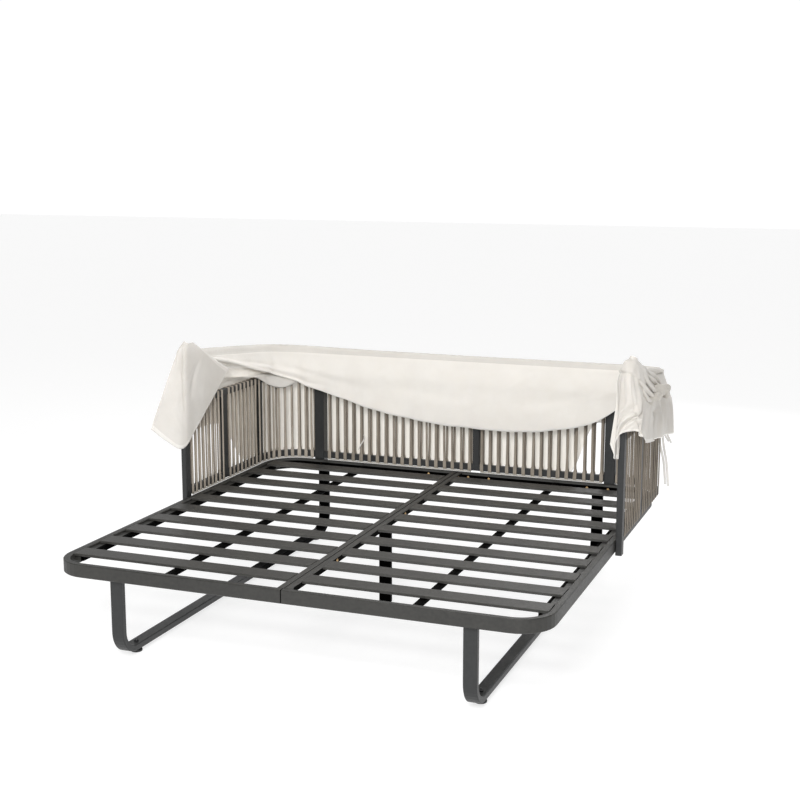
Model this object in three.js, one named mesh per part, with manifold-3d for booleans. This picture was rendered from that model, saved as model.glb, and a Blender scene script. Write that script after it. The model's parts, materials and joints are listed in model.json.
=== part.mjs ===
// Outdoor daybed with a canopy folded back over its woven backrest.
// Millimetres, +Z up. The origin is on the floor, in the middle of the centre foot.
// +Y is towards the backrest, and +X is to the right as one looks at it from the front.
import * as THREE from "three";
import { mergeVertices } from "three/addons/utils/BufferGeometryUtils.js";
import Module from "manifold-3d";

const wasm = await Module();
wasm.setup();

// Clearances
const FIT_GAP = 0.3; // between pieces that touch
const BACK_CLEARANCE = 0.5; // between the platform's outside and the backrest's posts
const WELD_DEPTH = 5; // how far a welded piece runs into the one that carries it

// Platform
const PLATFORM_WIDTH = 1900;
const PLATFORM_DEPTH = 1925;
const PLATFORM_HEIGHT = 365;
const RAIL_HEIGHT = 50;
const RAIL_THICKNESS = 25;
const RAIL_CHAMFER = 3;
const FRONT_CORNER_RADIUS = 130;
const REAR_CORNER_RADIUS = 160;
const SEAM_GAP = 2;
const SEAM_RAIL_WIDTH = 25;
const SEAM_RAIL_HEIGHT = 25;

// Slats and what carries them
const SLAT_COUNT = 10; // on each half
const SLAT_WIDTH = 82;
const SLAT_THICKNESS = 10;
const SLAT_CHAMFER = 1.5;
const SLAT_END_GAP = 0.8;
const SLAT_FRONT_INSET = 120;
const SLAT_REAR_INSET = 113;
const MID_RAIL_OFFSET = 479; // from the seam
const MID_RAIL_WIDTH = 25;
const MID_RAIL_HEIGHT = 20;
const LEDGE_WIDTH = 40;
const LEDGE_HEIGHT = 20;

// Sled legs, centre leg and feet
const LEG_INSET = 268; // from the platform's side to the leg's middle
const LEG_WIDTH = 50;
const LEG_THICKNESS = 25;
const LEG_CHAMFER = 3;
const LEG_BEND_RADIUS = 95; // outside
const LEG_TOP_DROP = 15; // below the platform's top
const RUNNER_CLEARANCE = 15; // above the floor
const CENTRE_LEG_SETBACK = 23; // behind the platform's middle
const FOOT_INSET = 150; // from the platform's ends
const FOOT_DIAMETER = 45;
const FOOT_THICKNESS = 8;
const FOOT_EDGE = 2;
const FOOT_STEM_DIAMETER = 20;

// Backrest frame
const BACK_TUBE_THICKNESS = 25;
const BACK_TUBE_HEIGHT = 30;
const BACK_TUBE_CHAMFER = 3;
const BACK_BOTTOM_RISE = 7; // underside of the bottom rail above the platform
const BACK_TOP_RISE = 423; // top of the top rail above the platform
const ARM_LENGTH = 905; // from the front post's front to the platform's rear
const FRONT_POST_DEPTH = 40;
const FRONT_POST_RISE = 601;
const FRONT_POST_DROP = 60; // below the platform's top
const POST_CHAMFER = 3;
const BACK_POST_WIDTH = 50;
const BACK_POST_DEPTH = 50;
const BACK_POST_INSET = 200; // from the platform's side to the post's outer side
const BACK_POST_DROP = 50;
const UPRIGHT_THICKNESS = 24;
const ARM_UPRIGHT_INSET = 515; // from the platform's rear to the upright's rear side
const ARM_UPRIGHT_WIDTH = 42;
const CORNER_UPRIGHT_INSET = 161;
const CORNER_UPRIGHT_WIDTH = 22;
const MIDDLE_UPRIGHT_OFFSET = 86;
const MIDDLE_UPRIGHT_WIDTH = 34;

// Woven straps
const STRAP_WIDTH = 10;
const STRAP_THICKNESS = 2;
const STRAP_MARGIN = 7; // from an upright or a post
const LEFT_PANEL_MARGIN = 23; // at the left back post
const BINDING_HEIGHT = 5.5;
const BINDING_THICKNESS = 4;
const BINDING_LIFT = 0.8; // above the platform
const ARM_GAPS = 8;
const CORNER_GAPS = 8;
const BACK_LEFT_GAPS = 17;
const BACK_RIGHT_GAPS = 14;

// Canopy bow and its hinges
const BOW_TUBE = 25;
const BOW_SIDES = 10;
const BOW_FOLD_DEGREES = 5.6; // below level, when folded back
const BOW_END_OVERRUN = 11; // of the tube past the pivot
const PIVOT_ABOVE_POST = 24;
const HINGE_PLATE = 3;
const HINGE_SIDE_CLEARANCE = 0.4;
const HINGE_ABOVE_PIVOT = 14;
const BOLT_DIAMETER = 8;
const BOLT_CLEARANCE = 0.4;
const BOLT_HEAD_DIAMETER = 15;
const BOLT_HEAD_HEIGHT = 4;
const ROUND_SIDES = 16;

// Canopy cloth
const CLOTH_THICKNESS = 2.5;
const SLEEVE_CLEARANCE = 1.4;
const SLEEVE_START_DEGREES = -30; // round the tube, from its outer side
const SLEEVE_END_DEGREES = 180;
const SLEEVE_SETBACK = 80; // from the pivot to the sleeve's end
const SWAG_DROP = 322; // deepest hang below the bow's middle
const SWAG_FULLNESS = 17; // how far it hangs in front of the tube
const SWAG_LEAN_DEPTH = 95; // below the bow, where the full lean is reached
const SWAG_FOLD = 5;
const SWAG_FOLD_LENGTH = 330;
const OUTER_SHOULDER_RISE = 438; // above the platform
const OUTER_START_OFFSET = 18; // from the bow's middle
const OUTER_OFFSET = 47; // of the hanging cloth from the rails' middle
const OUTER_FOLD = 6;
const OUTER_FOLD_LENGTH = 215;
const OUTER_DROP = 423; // from the shoulder to the lowest hem
const OUTER_LEFT_SETBACK = 95; // from the pivot
const OUTER_RIGHT_SETBACK = 264;
const FLAP_LENGTH = 460; // from the peak over the left post to the corner below
const FALL_LENGTH = 330; // from the heap over the right post to the hem

// Steps along round stretches
const ARC_STEPS = 9;
const STRAIGHT_STEP = 110;
const BACK_STRAIGHT_STEP = 70;

// The hang of the swag, as shares of the sleeve's run from the left and of SWAG_DROP
const swagDropShares = [
  [0, 0.1], [0.055, 0.1], [0.092, 0.155], [0.146, 0.283], [0.238, 0.45], [0.301, 0.61],
  [0.361, 0.767], [0.418, 0.907], [0.475, 0.98], [0.544, 1], [0.612, 0.96], [0.658, 0.86],
  [0.686, 0.795], [0.704, 0.714], [0.723, 0.56], [0.749, 0.34], [0.81, 0.18], [0.86, 0.1], [1, 0.1],
];

// The hem of the cloth outside, as shares of its run from the left and of OUTER_DROP
const outerHemShares = [
  [0, 0.4], [0.09, 0.43], [0.125, 0.6], [0.155, 0.97], [0.2, 1], [0.685, 1], [0.7, 0.9],
  [0.72, 0.4], [0.81, 0.41], [0.888, 0.32], [1, 0.22],
];

// Cloth over the left post: columns from the outer edge to the inner one, each from its top to its
// hem. Shares of FLAP_LENGTH outward from the post, back from it and above its top.
const flapShares = [
  [[0.02, 0.03, 0.168], [0.074, -0.014, 0.086], [0.085, -0.057, -0.035], [0.341, -0.061, -0.67]],
  [[-0.007, 0.015, 0.175], [0.026, -0.07, 0.08], [0.05, -0.07, -0.2], [0.17, -0.068, -0.77]],
  [[-0.022, 0.022, 0.17], [-0.017, -0.065, 0.074], [-0.013, -0.072, -0.37], [-0.011, -0.066, -0.826]],
  [[-0.05, 0.01, 0.17], [-0.068, -0.03, 0.03], [-0.066, 0, -0.33], [-0.056, 0.12, -0.65]],
  [[-0.046, 0.1, 0.168], [-0.056, 0.33, 0.04], [-0.057, 0.56, -0.08], [-0.055, 0.787, -0.18]],
];

// Cloth over the right post, in the same way with FALL_LENGTH, from the inner edge to the outer one
const fallShares = [
  [[-0.03, 0.15, 0.255], [-0.08, -0.05, 0.14], [-0.07, -0.06, -0.14], [-0.12, -0.085, -0.65]],
  [[-0.015, 0.09, 0.295], [-0.035, -0.0655, 0.145], [-0.03, -0.0655, -0.14], [-0.02, -0.1, -0.82]],
  [[0.006, 0.05, 0.31], [0.006, -0.0655, 0.15], [0.006, -0.0655, -0.14], [-0.042, -0.112, -0.53]],
  [[0.05, 0.03, 0.31], [0.076, -0.075, 0.14], [0.127, -0.09, -0.14], [0.215, -0.105, -0.48]],
  [[0.09, 0.09, 0.295], [0.118, -0.015, 0.118], [0.158, 0, -0.14], [0.235, -0.03, -0.62]],
  [[0.09, 0.3, 0.255], [0.12, 0.36, 0.09], [0.14, 0.48, -0.14], [0.15, 0.76, -0.79]],
];

// Derived places
const FRONT_Y = -(PLATFORM_DEPTH / 2 + CENTRE_LEG_SETBACK);
const REAR_Y = FRONT_Y + PLATFORM_DEPTH;
const HALF_WIDTH = PLATFORM_WIDTH / 2;
const LEG_X = HALF_WIDTH - LEG_INSET;
const UNDER_SLATS = PLATFORM_HEIGHT - SLAT_THICKNESS - FIT_GAP;
const HALF_TUBE = BACK_TUBE_THICKNESS / 2;
const BACK_HALF = HALF_WIDTH + BACK_CLEARANCE + HALF_TUBE; // middle of the backrest's side tubes
const BACK_Y = REAR_Y + BACK_CLEARANCE + HALF_TUBE; // middle of its rear tube
const BACK_RADIUS = REAR_CORNER_RADIUS + BACK_CLEARANCE + HALF_TUBE;
const POST_Y = REAR_Y - ARM_LENGTH + FRONT_POST_DEPTH / 2;
const ARM_START_Y = POST_Y + FRONT_POST_DEPTH / 2;
const POST_TOP = PLATFORM_HEIGHT + FRONT_POST_RISE;
const PIVOT_Z = POST_TOP + PIVOT_ABOVE_POST;
const BOTTOM_RAIL_BASE = PLATFORM_HEIGHT + BACK_BOTTOM_RISE;
const TOP_RAIL_TOP = PLATFORM_HEIGHT + BACK_TOP_RISE;
const BOW_FOLD = THREE.MathUtils.degToRad(BOW_FOLD_DEGREES);
const BOW_LENGTH = (BACK_Y - POST_Y) / Math.cos(BOW_FOLD); // pivot to the middle of its cross bar

const finishes = {
  frame: { color: 0x4a4a48, roughness: 0.55, metalness: 0.3 },
  strap: { color: 0x8b8174, roughness: 0.8, metalness: 0 },
  foot: { color: 0x1c1c1c, roughness: 0.6, metalness: 0 },
  cloth: { color: 0xece9e2, roughness: 0.95, metalness: 0 },
  steel: { color: 0x8a8f94, roughness: 0.4, metalness: 0.9 },
};

const part = new THREE.Group();

// Adds a geometry to the part as a named mesh
function add(name, geometry, finish, place = new THREE.Vector3()) {
  const mesh = new THREE.Mesh(geometry, new THREE.MeshStandardMaterial(finishes[finish]));
  mesh.name = name;
  mesh.position.copy(place);
  part.add(mesh);
  return mesh;
}

// A manifold solid from a geometry, and a geometry from a solid
function solidOf(geometry) {
  const bare = geometry.clone();
  bare.deleteAttribute("normal");
  bare.deleteAttribute("uv");
  const merged = mergeVertices(bare);
  const mesh = new wasm.Mesh({
    numProp: 3,
    vertProperties: merged.attributes.position.array,
    triVerts: new Uint32Array(merged.index.array),
  });
  return new wasm.Manifold(mesh);
}

function geometryOf(solid) {
  const mesh = solid.getMesh();
  const geometry = new THREE.BufferGeometry();
  geometry.setAttribute("position", new THREE.BufferAttribute(mesh.vertProperties, 3));
  geometry.setIndex(new THREE.BufferAttribute(mesh.triVerts, 1));
  geometry.computeVertexNormals();
  return geometry;
}

// A rectangle with its corners cut off, across the tubes and bars
function barSection(width, height, chamfer) {
  const [w, h] = [width / 2, height / 2];
  return new THREE.Shape([
    new THREE.Vector2(-w + chamfer, -h),
    new THREE.Vector2(w - chamfer, -h),
    new THREE.Vector2(w, -h + chamfer),
    new THREE.Vector2(w, h - chamfer),
    new THREE.Vector2(w - chamfer, h),
    new THREE.Vector2(-w + chamfer, h),
    new THREE.Vector2(-w, h - chamfer),
    new THREE.Vector2(-w, -h + chamfer),
  ]);
}

function roundSection(diameter, sides) {
  const corners = [];
  for (let i = 0; i < sides; i++) {
    const angle = ((i + 1 / 2) / sides) * 2 * Math.PI;
    corners.push(new THREE.Vector2(Math.cos(angle), Math.sin(angle)).multiplyScalar(diameter / 2));
  }
  return new THREE.Shape(corners);
}

// A flat U: up its left side, round a corner, across, round a corner and down its right side.
// It gives the place, the direction and the outward side at any distance from its left end.
class UPath {
  constructor(half, start, end, radius) {
    Object.assign(this, { half, start, end, radius });
    this.side = end - radius - start;
    this.arc = (Math.PI / 2) * radius;
    this.across = 2 * (half - radius);
    this.length = 2 * this.side + 2 * this.arc + this.across;
  }
  at(distance) {
    const mirrored = distance > this.length / 2;
    const s = mirrored ? this.length - distance : distance;
    const sign = mirrored ? 1 : -1;
    let [x, y, turn] = [this.half, this.start + s, 0];
    if (s > this.side + this.arc) {
      [x, y, turn] = [this.half - this.radius - (s - this.side - this.arc), this.end, Math.PI / 2];
    } else if (s > this.side) {
      turn = (s - this.side) / this.radius;
      x = this.half - this.radius * (1 - Math.cos(turn));
      y = this.end - this.radius * (1 - Math.sin(turn));
    }
    return {
      place: new THREE.Vector2(sign * x, y),
      outward: new THREE.Vector2(sign * Math.cos(turn), Math.sin(turn)),
      heading: new THREE.Vector2(Math.sin(turn), -sign * Math.cos(turn)),
    };
  }
  inBend(distance) {
    const s = Math.min(distance, this.length - distance);
    return s > this.side && s < this.side + this.arc;
  }
  // Distance along the U of a place on its left side, and of one on its cross bar
  atSide(y) {
    return y - this.start;
  }
  atAcross(x) {
    return this.length / 2 + x;
  }
  // Distances from one end to the other: each bend in even steps, straights in steps of a length
  stations(from, to, straightStep = Infinity) {
    const bends = [0, this.side, this.side + this.arc];
    const marks = [...bends, ...bends.map((s) => this.length - s)].sort((a, b) => a - b);
    const list = [from];
    for (let i = 1; i < marks.length; i++) {
      const [a, b] = [Math.max(marks[i - 1], from), Math.min(marks[i], to)];
      if (b <= a) continue;
      const round = i === 2 || i === 4;
      const steps = round ? Math.ceil((ARC_STEPS * (b - a)) / this.arc) : Math.ceil((b - a) / straightStep);
      for (let k = 1; k <= Math.max(steps, 1); k++) list.push(a + ((b - a) * k) / Math.max(steps, 1));
    }
    return list;
  }
}

// A line through given points, which an extrusion follows ring by ring
class RingPath extends THREE.Curve {
  constructor(points, headings) {
    super();
    this.points = points;
    this.headings = headings;
  }
  getPoint(t, target = new THREE.Vector3()) {
    const k = t * (this.points.length - 1);
    const i = Math.min(Math.floor(k), this.points.length - 2);
    return target.lerpVectors(this.points[i], this.points[i + 1], k - i);
  }
  getPointAt(u, target) {
    return this.getPoint(u, target);
  }
  getTangentAt(u, target = new THREE.Vector3()) {
    return target.copy(this.headings[Math.round(u * (this.points.length - 1))]);
  }
}

// A tube or bar along part of a flat U. The section's x runs across the U's plane.
function tubeAlong(path, from, to, section, inset = 0) {
  const rings = path.stations(from, to).map((s) => path.at(s));
  const points = rings.map((r) => r.place.clone().addScaledVector(r.outward, -inset));
  const flat = (v) => new THREE.Vector3(v.x, v.y, 0);
  const line = new RingPath(points.map(flat), rings.map((r) => flat(r.heading)));
  return new THREE.ExtrudeGeometry(section, { steps: rings.length - 1, extrudePath: line });
}

// A straight bar along X or Y with cut corners, from one end to the other
function barAlong(axis, length, across, height, chamfer) {
  const geometry = new THREE.ExtrudeGeometry(barSection(across, height, chamfer), {
    depth: length,
    bevelEnabled: false,
  });
  geometry.translate(0, 0, -length / 2);
  geometry.rotateX(Math.PI / 2);
  if (axis === "x") geometry.rotateZ(Math.PI / 2);
  return geometry;
}

// An upright bar from one height to another
function upright(x, y, low, high, width, depth, chamfer) {
  const geometry = new THREE.ExtrudeGeometry(barSection(width, depth, chamfer), {
    depth: high - low,
    bevelEnabled: false,
  });
  return geometry.translate(x, y, low);
}

// A closed sheet of even thickness over a grid of places
function sheetSolid(columns) {
  const [nu, nv] = [columns.length - 1, columns[0].length - 1];
  const corner = (i, j) => columns[Math.min(Math.max(i, 0), nu)][Math.min(Math.max(j, 0), nv)];
  const positions = [];
  const indices = [];
  for (const side of [1 / 2, -1 / 2]) {
    for (let i = 0; i <= nu; i++) {
      for (let j = 0; j <= nv; j++) {
        const along = new THREE.Vector3().subVectors(corner(i + 1, j), corner(i - 1, j));
        const down = new THREE.Vector3().subVectors(corner(i, j + 1), corner(i, j - 1));
        const normal = along.cross(down).normalize();
        positions.push(...corner(i, j).clone().addScaledVector(normal, side * CLOTH_THICKNESS));
      }
    }
  }
  const count = (nu + 1) * (nv + 1);
  const index = (i, j, back) => i * (nv + 1) + j + (back ? count : 0);
  const quad = (a, b, c, d) => indices.push(a, b, c, a, c, d);
  for (let i = 0; i < nu; i++) {
    for (let j = 0; j < nv; j++) {
      quad(index(i, j), index(i + 1, j), index(i + 1, j + 1), index(i, j + 1));
      quad(index(i, j, 1), index(i, j + 1, 1), index(i + 1, j + 1, 1), index(i + 1, j, 1));
    }
    quad(index(i, 0, 1), index(i + 1, 0, 1), index(i + 1, 0), index(i, 0));
    quad(index(i, nv), index(i + 1, nv), index(i + 1, nv, 1), index(i, nv, 1));
  }
  for (let j = 0; j < nv; j++) {
    quad(index(0, j), index(0, j + 1), index(0, j + 1, 1), index(0, j, 1));
    quad(index(nu, j, 1), index(nu, j + 1, 1), index(nu, j + 1), index(nu, j));
  }
  const geometry = new THREE.BufferGeometry();
  geometry.setAttribute("position", new THREE.Float32BufferAttribute(positions, 3));
  geometry.setIndex(indices);
  geometry.computeVertexNormals();
  return geometry;
}

// A value read from a table of shares, in straight lines between its rows
function readShares(table, share) {
  const k = table.findIndex((row) => row[0] >= share);
  if (k <= 0) return table[0][1];
  const [a, b] = [table[k - 1], table[k]];
  return a[1] + ((b[1] - a[1]) * (share - a[0])) / (b[0] - a[0]);
}

// Platform: two bent outer rails, butted at the seam, with what lies inside them
function innerSideAt(y) {
  const reach = HALF_WIDTH - RAIL_THICKNESS;
  const frontBend = FRONT_Y + FRONT_CORNER_RADIUS - y;
  const rearBend = y - (REAR_Y - REAR_CORNER_RADIUS);
  const into = Math.max(frontBend, rearBend);
  const radius = frontBend > rearBend ? FRONT_CORNER_RADIUS : REAR_CORNER_RADIUS;
  if (into <= 0) return reach;
  const inner = radius - RAIL_THICKNESS;
  const flats = inner * Math.cos(Math.PI / 4 / ARC_STEPS); // the bend's flat facets lie inside its arc
  return reach - inner + Math.sqrt(Math.max(flats * flats - into * into, 0));
}

// The outer rail of one half, as a C from the seam round the front and rear corners
function outerRail() {
  const half = RAIL_THICKNESS / 2;
  const line = [];
  const headings = [];
  const push = (x, y, hx, hy) => {
    line.push(new THREE.Vector3(x, y, 0));
    headings.push(new THREE.Vector3(hx, hy, 0));
  };
  push(SEAM_GAP / 2, FRONT_Y + half, 1, 0);
  const corners = [
    [FRONT_CORNER_RADIUS, FRONT_Y + FRONT_CORNER_RADIUS, -Math.PI / 2],
    [REAR_CORNER_RADIUS, REAR_Y - REAR_CORNER_RADIUS, 0],
  ];
  for (const [radius, y, start] of corners) {
    for (let k = 0; k <= ARC_STEPS; k++) {
      const angle = start + ((Math.PI / 2) * k) / ARC_STEPS;
      const [c, s] = [Math.cos(angle), Math.sin(angle)];
      push(HALF_WIDTH - radius + (radius - half) * c, y + (radius - half) * s, -s, c);
    }
  }
  push(SEAM_GAP / 2, REAR_Y - half, -1, 0);
  return new THREE.ExtrudeGeometry(barSection(RAIL_HEIGHT, RAIL_THICKNESS, RAIL_CHAMFER), {
    steps: line.length - 1,
    extrudePath: new RingPath(line, headings),
  });
}

// The rail with the ledge, welded along its side, that the slats' outer ends lie on
function outerRailWithLedge() {
  const rail = outerRail().translate(0, 0, PLATFORM_HEIGHT - RAIL_HEIGHT / 2);
  const front = FRONT_Y + FRONT_CORNER_RADIUS;
  const rear = REAR_Y - REAR_CORNER_RADIUS;
  const width = LEDGE_WIDTH + WELD_DEPTH;
  const ledge = barAlong("y", rear - front, width, LEDGE_HEIGHT, RAIL_CHAMFER);
  const x = HALF_WIDTH - RAIL_THICKNESS + WELD_DEPTH - width / 2;
  ledge.translate(x, (front + rear) / 2, UNDER_SLATS - LEDGE_HEIGHT / 2);
  return geometryOf(solidOf(rail).add(solidOf(ledge)));
}

function buildPlatformHalf(side, sign) {
  const inside = PLATFORM_DEPTH - 2 * (RAIL_THICKNESS + FIT_GAP);
  const middleY = (FRONT_Y + REAR_Y) / 2;
  const rail = add("outer_rail_" + side, outerRailWithLedge(), "frame");
  rail.scale.x = sign;
  const seamX = SEAM_GAP / 2 + SEAM_RAIL_WIDTH / 2;
  const seam = barAlong("y", inside, SEAM_RAIL_WIDTH, SEAM_RAIL_HEIGHT, RAIL_CHAMFER);
  const seamZ = PLATFORM_HEIGHT - SEAM_RAIL_HEIGHT / 2;
  add("seam_rail_" + side, seam, "frame", new THREE.Vector3(sign * seamX, middleY, seamZ));

  const mid = barAlong("y", inside, MID_RAIL_WIDTH, MID_RAIL_HEIGHT, RAIL_CHAMFER);
  const midZ = UNDER_SLATS - MID_RAIL_HEIGHT / 2;
  add("mid_rail_" + side, mid, "frame", new THREE.Vector3(sign * MID_RAIL_OFFSET, middleY, midZ));

  const run = PLATFORM_DEPTH - SLAT_FRONT_INSET - SLAT_REAR_INSET - SLAT_WIDTH;
  const slatStart = SEAM_GAP / 2 + SEAM_RAIL_WIDTH + FIT_GAP;
  for (let i = 0; i < SLAT_COUNT; i++) {
    const y = FRONT_Y + SLAT_FRONT_INSET + SLAT_WIDTH / 2 + (run * i) / (SLAT_COUNT - 1);
    const reach = Math.min(innerSideAt(y - SLAT_WIDTH / 2), innerSideAt(y + SLAT_WIDTH / 2));
    const slatEnd = reach - SLAT_END_GAP;
    const slat = barAlong("x", slatEnd - slatStart, SLAT_WIDTH, SLAT_THICKNESS, SLAT_CHAMFER);
    const x = (sign * (slatStart + slatEnd)) / 2;
    const place = new THREE.Vector3(x, y, PLATFORM_HEIGHT - SLAT_THICKNESS / 2);
    add("slat_" + side + "_" + (i + 1), slat, "frame", place);
  }
}

// Sled legs: a flat bar bent into a U, standing on feet under its runner
function buildSledLeg(side, sign) {
  const halfRun = PLATFORM_DEPTH / 2 - RAIL_THICKNESS - FIT_GAP - LEG_THICKNESS / 2;
  const top = PLATFORM_HEIGHT - LEG_TOP_DROP;
  const runner = RUNNER_CLEARANCE + LEG_THICKNESS / 2;
  const path = new UPath(halfRun, 0, top - runner, LEG_BEND_RADIUS - LEG_THICKNESS / 2);
  const section = barSection(LEG_WIDTH, LEG_THICKNESS, LEG_CHAMFER);
  const geometry = tubeAlong(path, 0, path.length, section);
  const basis = new THREE.Matrix4().makeBasis(
    new THREE.Vector3(0, 1, 0),
    new THREE.Vector3(0, 0, -1),
    new THREE.Vector3(-1, 0, 0),
  );
  geometry.applyMatrix4(basis);
  add("sled_leg_" + side, geometry, "frame", new THREE.Vector3(sign * LEG_X, (FRONT_Y + REAR_Y) / 2, top));
}

// A foot: a flat disc with a stem up to the runner
function footGeometry() {
  const radius = FOOT_DIAMETER / 2;
  const stem = FOOT_STEM_DIAMETER / 2;
  const profile = [
    [0, 0],
    [radius - FOOT_EDGE, 0],
    [radius, FOOT_EDGE],
    [radius, FOOT_THICKNESS],
    [stem, FOOT_THICKNESS],
    [stem, RUNNER_CLEARANCE - FIT_GAP],
    [0, RUNNER_CLEARANCE - FIT_GAP],
  ];
  const lathe = new THREE.LatheGeometry(profile.map(([r, h]) => new THREE.Vector2(r, h)), ROUND_SIDES);
  return lathe.rotateX(Math.PI / 2);
}

function buildFeet() {
  const places = [["centre", 0, 0]];
  for (const [side, sign] of [["left", -1], ["right", 1]]) {
    places.push(["front_" + side, sign * LEG_X, FRONT_Y + FOOT_INSET]);
    places.push(["rear_" + side, sign * LEG_X, REAR_Y - FOOT_INSET]);
  }
  for (const [name, x, y] of places) {
    add("foot_" + name, footGeometry(), "foot", new THREE.Vector3(x, y, 0));
  }
  const legTop = PLATFORM_HEIGHT - SEAM_RAIL_HEIGHT - FIT_GAP;
  const leg = upright(0, 0, RUNNER_CLEARANCE, legTop, LEG_WIDTH, LEG_THICKNESS, LEG_CHAMFER);
  add("centre_leg", leg, "frame");
}

// Backrest: bent rails between posts, with uprights between the rails
const backPath = new UPath(BACK_HALF, ARM_START_Y, BACK_Y, BACK_RADIUS);
const backPostOuter = HALF_WIDTH - BACK_POST_INSET;
const backPostInner = backPostOuter - BACK_POST_WIDTH;
const backPostMiddle = (backPostOuter + backPostInner) / 2;

// A bottom rail with the uprights that are welded on it and reach up to the top rail
function withUprights(rail, side) {
  const low = BOTTOM_RAIL_BASE + BACK_TUBE_HEIGHT - WELD_DEPTH;
  const high = TOP_RAIL_TOP - BACK_TUBE_HEIGHT - FIT_GAP;
  if (side === "middle") {
    const [x, width] = [MIDDLE_UPRIGHT_OFFSET, MIDDLE_UPRIGHT_WIDTH];
    const middle = upright(x, BACK_Y, low, high, width, UPRIGHT_THICKNESS, POST_CHAMFER);
    return solidOf(rail).add(solidOf(middle));
  }
  const x = side === "left" ? -BACK_HALF : BACK_HALF;
  const uprights = [
    [ARM_UPRIGHT_INSET, ARM_UPRIGHT_WIDTH],
    [CORNER_UPRIGHT_INSET, CORNER_UPRIGHT_WIDTH],
  ];
  return uprights.reduce((sum, [inset, width]) => {
    const y = REAR_Y - inset - width / 2;
    return sum.add(solidOf(upright(x, y, low, high, UPRIGHT_THICKNESS, width, POST_CHAMFER)));
  }, solidOf(rail));
}

function buildBackFrame() {
  const section = barSection(BACK_TUBE_HEIGHT, BACK_TUBE_THICKNESS, BACK_TUBE_CHAMFER);
  const runs = [
    ["left", FIT_GAP, backPath.atAcross(-backPostOuter - FIT_GAP)],
    ["middle", backPath.atAcross(-backPostInner + FIT_GAP), backPath.atAcross(backPostInner - FIT_GAP)],
    ["right", backPath.atAcross(backPostOuter + FIT_GAP), backPath.length - FIT_GAP],
  ];
  const heights = [
    ["bottom_rail_", BOTTOM_RAIL_BASE + BACK_TUBE_HEIGHT / 2],
    ["top_rail_", TOP_RAIL_TOP - BACK_TUBE_HEIGHT / 2],
  ];
  for (const [name, z] of heights) {
    for (const [side, from, to] of runs) {
      const rail = tubeAlong(backPath, from, to, section).translate(0, 0, z);
      const welded = name === "bottom_rail_" ? geometryOf(withUprights(rail, side)) : rail;
      add(name + side, welded, "frame");
    }
  }
  const postY = REAR_Y + BACK_CLEARANCE + BACK_POST_DEPTH / 2;
  for (const [side, sign] of [["left", -1], ["right", 1]]) {
    const base = PLATFORM_HEIGHT - BACK_POST_DROP;
    const post = upright(
      sign * backPostMiddle, postY, base, TOP_RAIL_TOP, BACK_POST_WIDTH, BACK_POST_DEPTH, POST_CHAMFER,
    );
    add("back_post_" + side, post, "frame");
  }
}

// Woven panels: strap loops round both rails, joined along the foot of the inner side
function strapLoop(distance) {
  // In a bend a flat strap touches the rails' hollow side at its edges, so its middle stands off
  const bend = BACK_RADIUS - HALF_TUBE;
  const facets = bend * Math.cos(Math.PI / 4 / ARC_STEPS);
  const slack = backPath.inBend(distance) ? bend - Math.sqrt(facets ** 2 - (STRAP_WIDTH / 2) ** 2) : 0;
  const half = HALF_TUBE + FIT_GAP;
  const [low, high] = [BOTTOM_RAIL_BASE - FIT_GAP, TOP_RAIL_TOP + FIT_GAP];
  const box = (grow) => [
    new THREE.Vector2(-half - slack - grow, low - grow),
    new THREE.Vector2(half + grow, low - grow),
    new THREE.Vector2(half + grow, high + grow),
    new THREE.Vector2(-half - slack - grow, high + grow),
  ];
  const shape = new THREE.Shape(box(STRAP_THICKNESS));
  shape.holes.push(new THREE.Path(box(0)));
  const geometry = new THREE.ExtrudeGeometry(shape, { depth: STRAP_WIDTH, bevelEnabled: false });
  geometry.translate(0, 0, -STRAP_WIDTH / 2);
  const { place, outward, heading } = backPath.at(distance);
  const basis = new THREE.Matrix4().makeBasis(
    new THREE.Vector3(outward.x, outward.y, 0),
    new THREE.Vector3(0, 0, 1),
    new THREE.Vector3(heading.x, heading.y, 0),
  );
  return geometry.applyMatrix4(basis.setPosition(place.x, place.y, 0));
}

function wovenPanel(name, runs) {
  const loops = [];
  for (const [from, to, gaps] of runs) {
    const pitch = (to - from - STRAP_WIDTH) / gaps;
    for (let i = 0; i <= gaps; i++) loops.push(solidOf(strapLoop(from + STRAP_WIDTH / 2 + pitch * i)));
  }
  const first = runs[0][0];
  const last = runs[runs.length - 1][1];
  const inset = HALF_TUBE + FIT_GAP + STRAP_THICKNESS - BINDING_THICKNESS / 2;
  const section = barSection(BINDING_HEIGHT, BINDING_THICKNESS, STRAP_THICKNESS / 2);
  const binding = tubeAlong(backPath, first, last, section, inset);
  binding.translate(0, 0, PLATFORM_HEIGHT + BINDING_LIFT + BINDING_HEIGHT / 2);
  const joined = loops.reduce((sum, loop) => sum.add(loop), solidOf(binding));
  add(name, geometryOf(joined), "strap");
}

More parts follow.
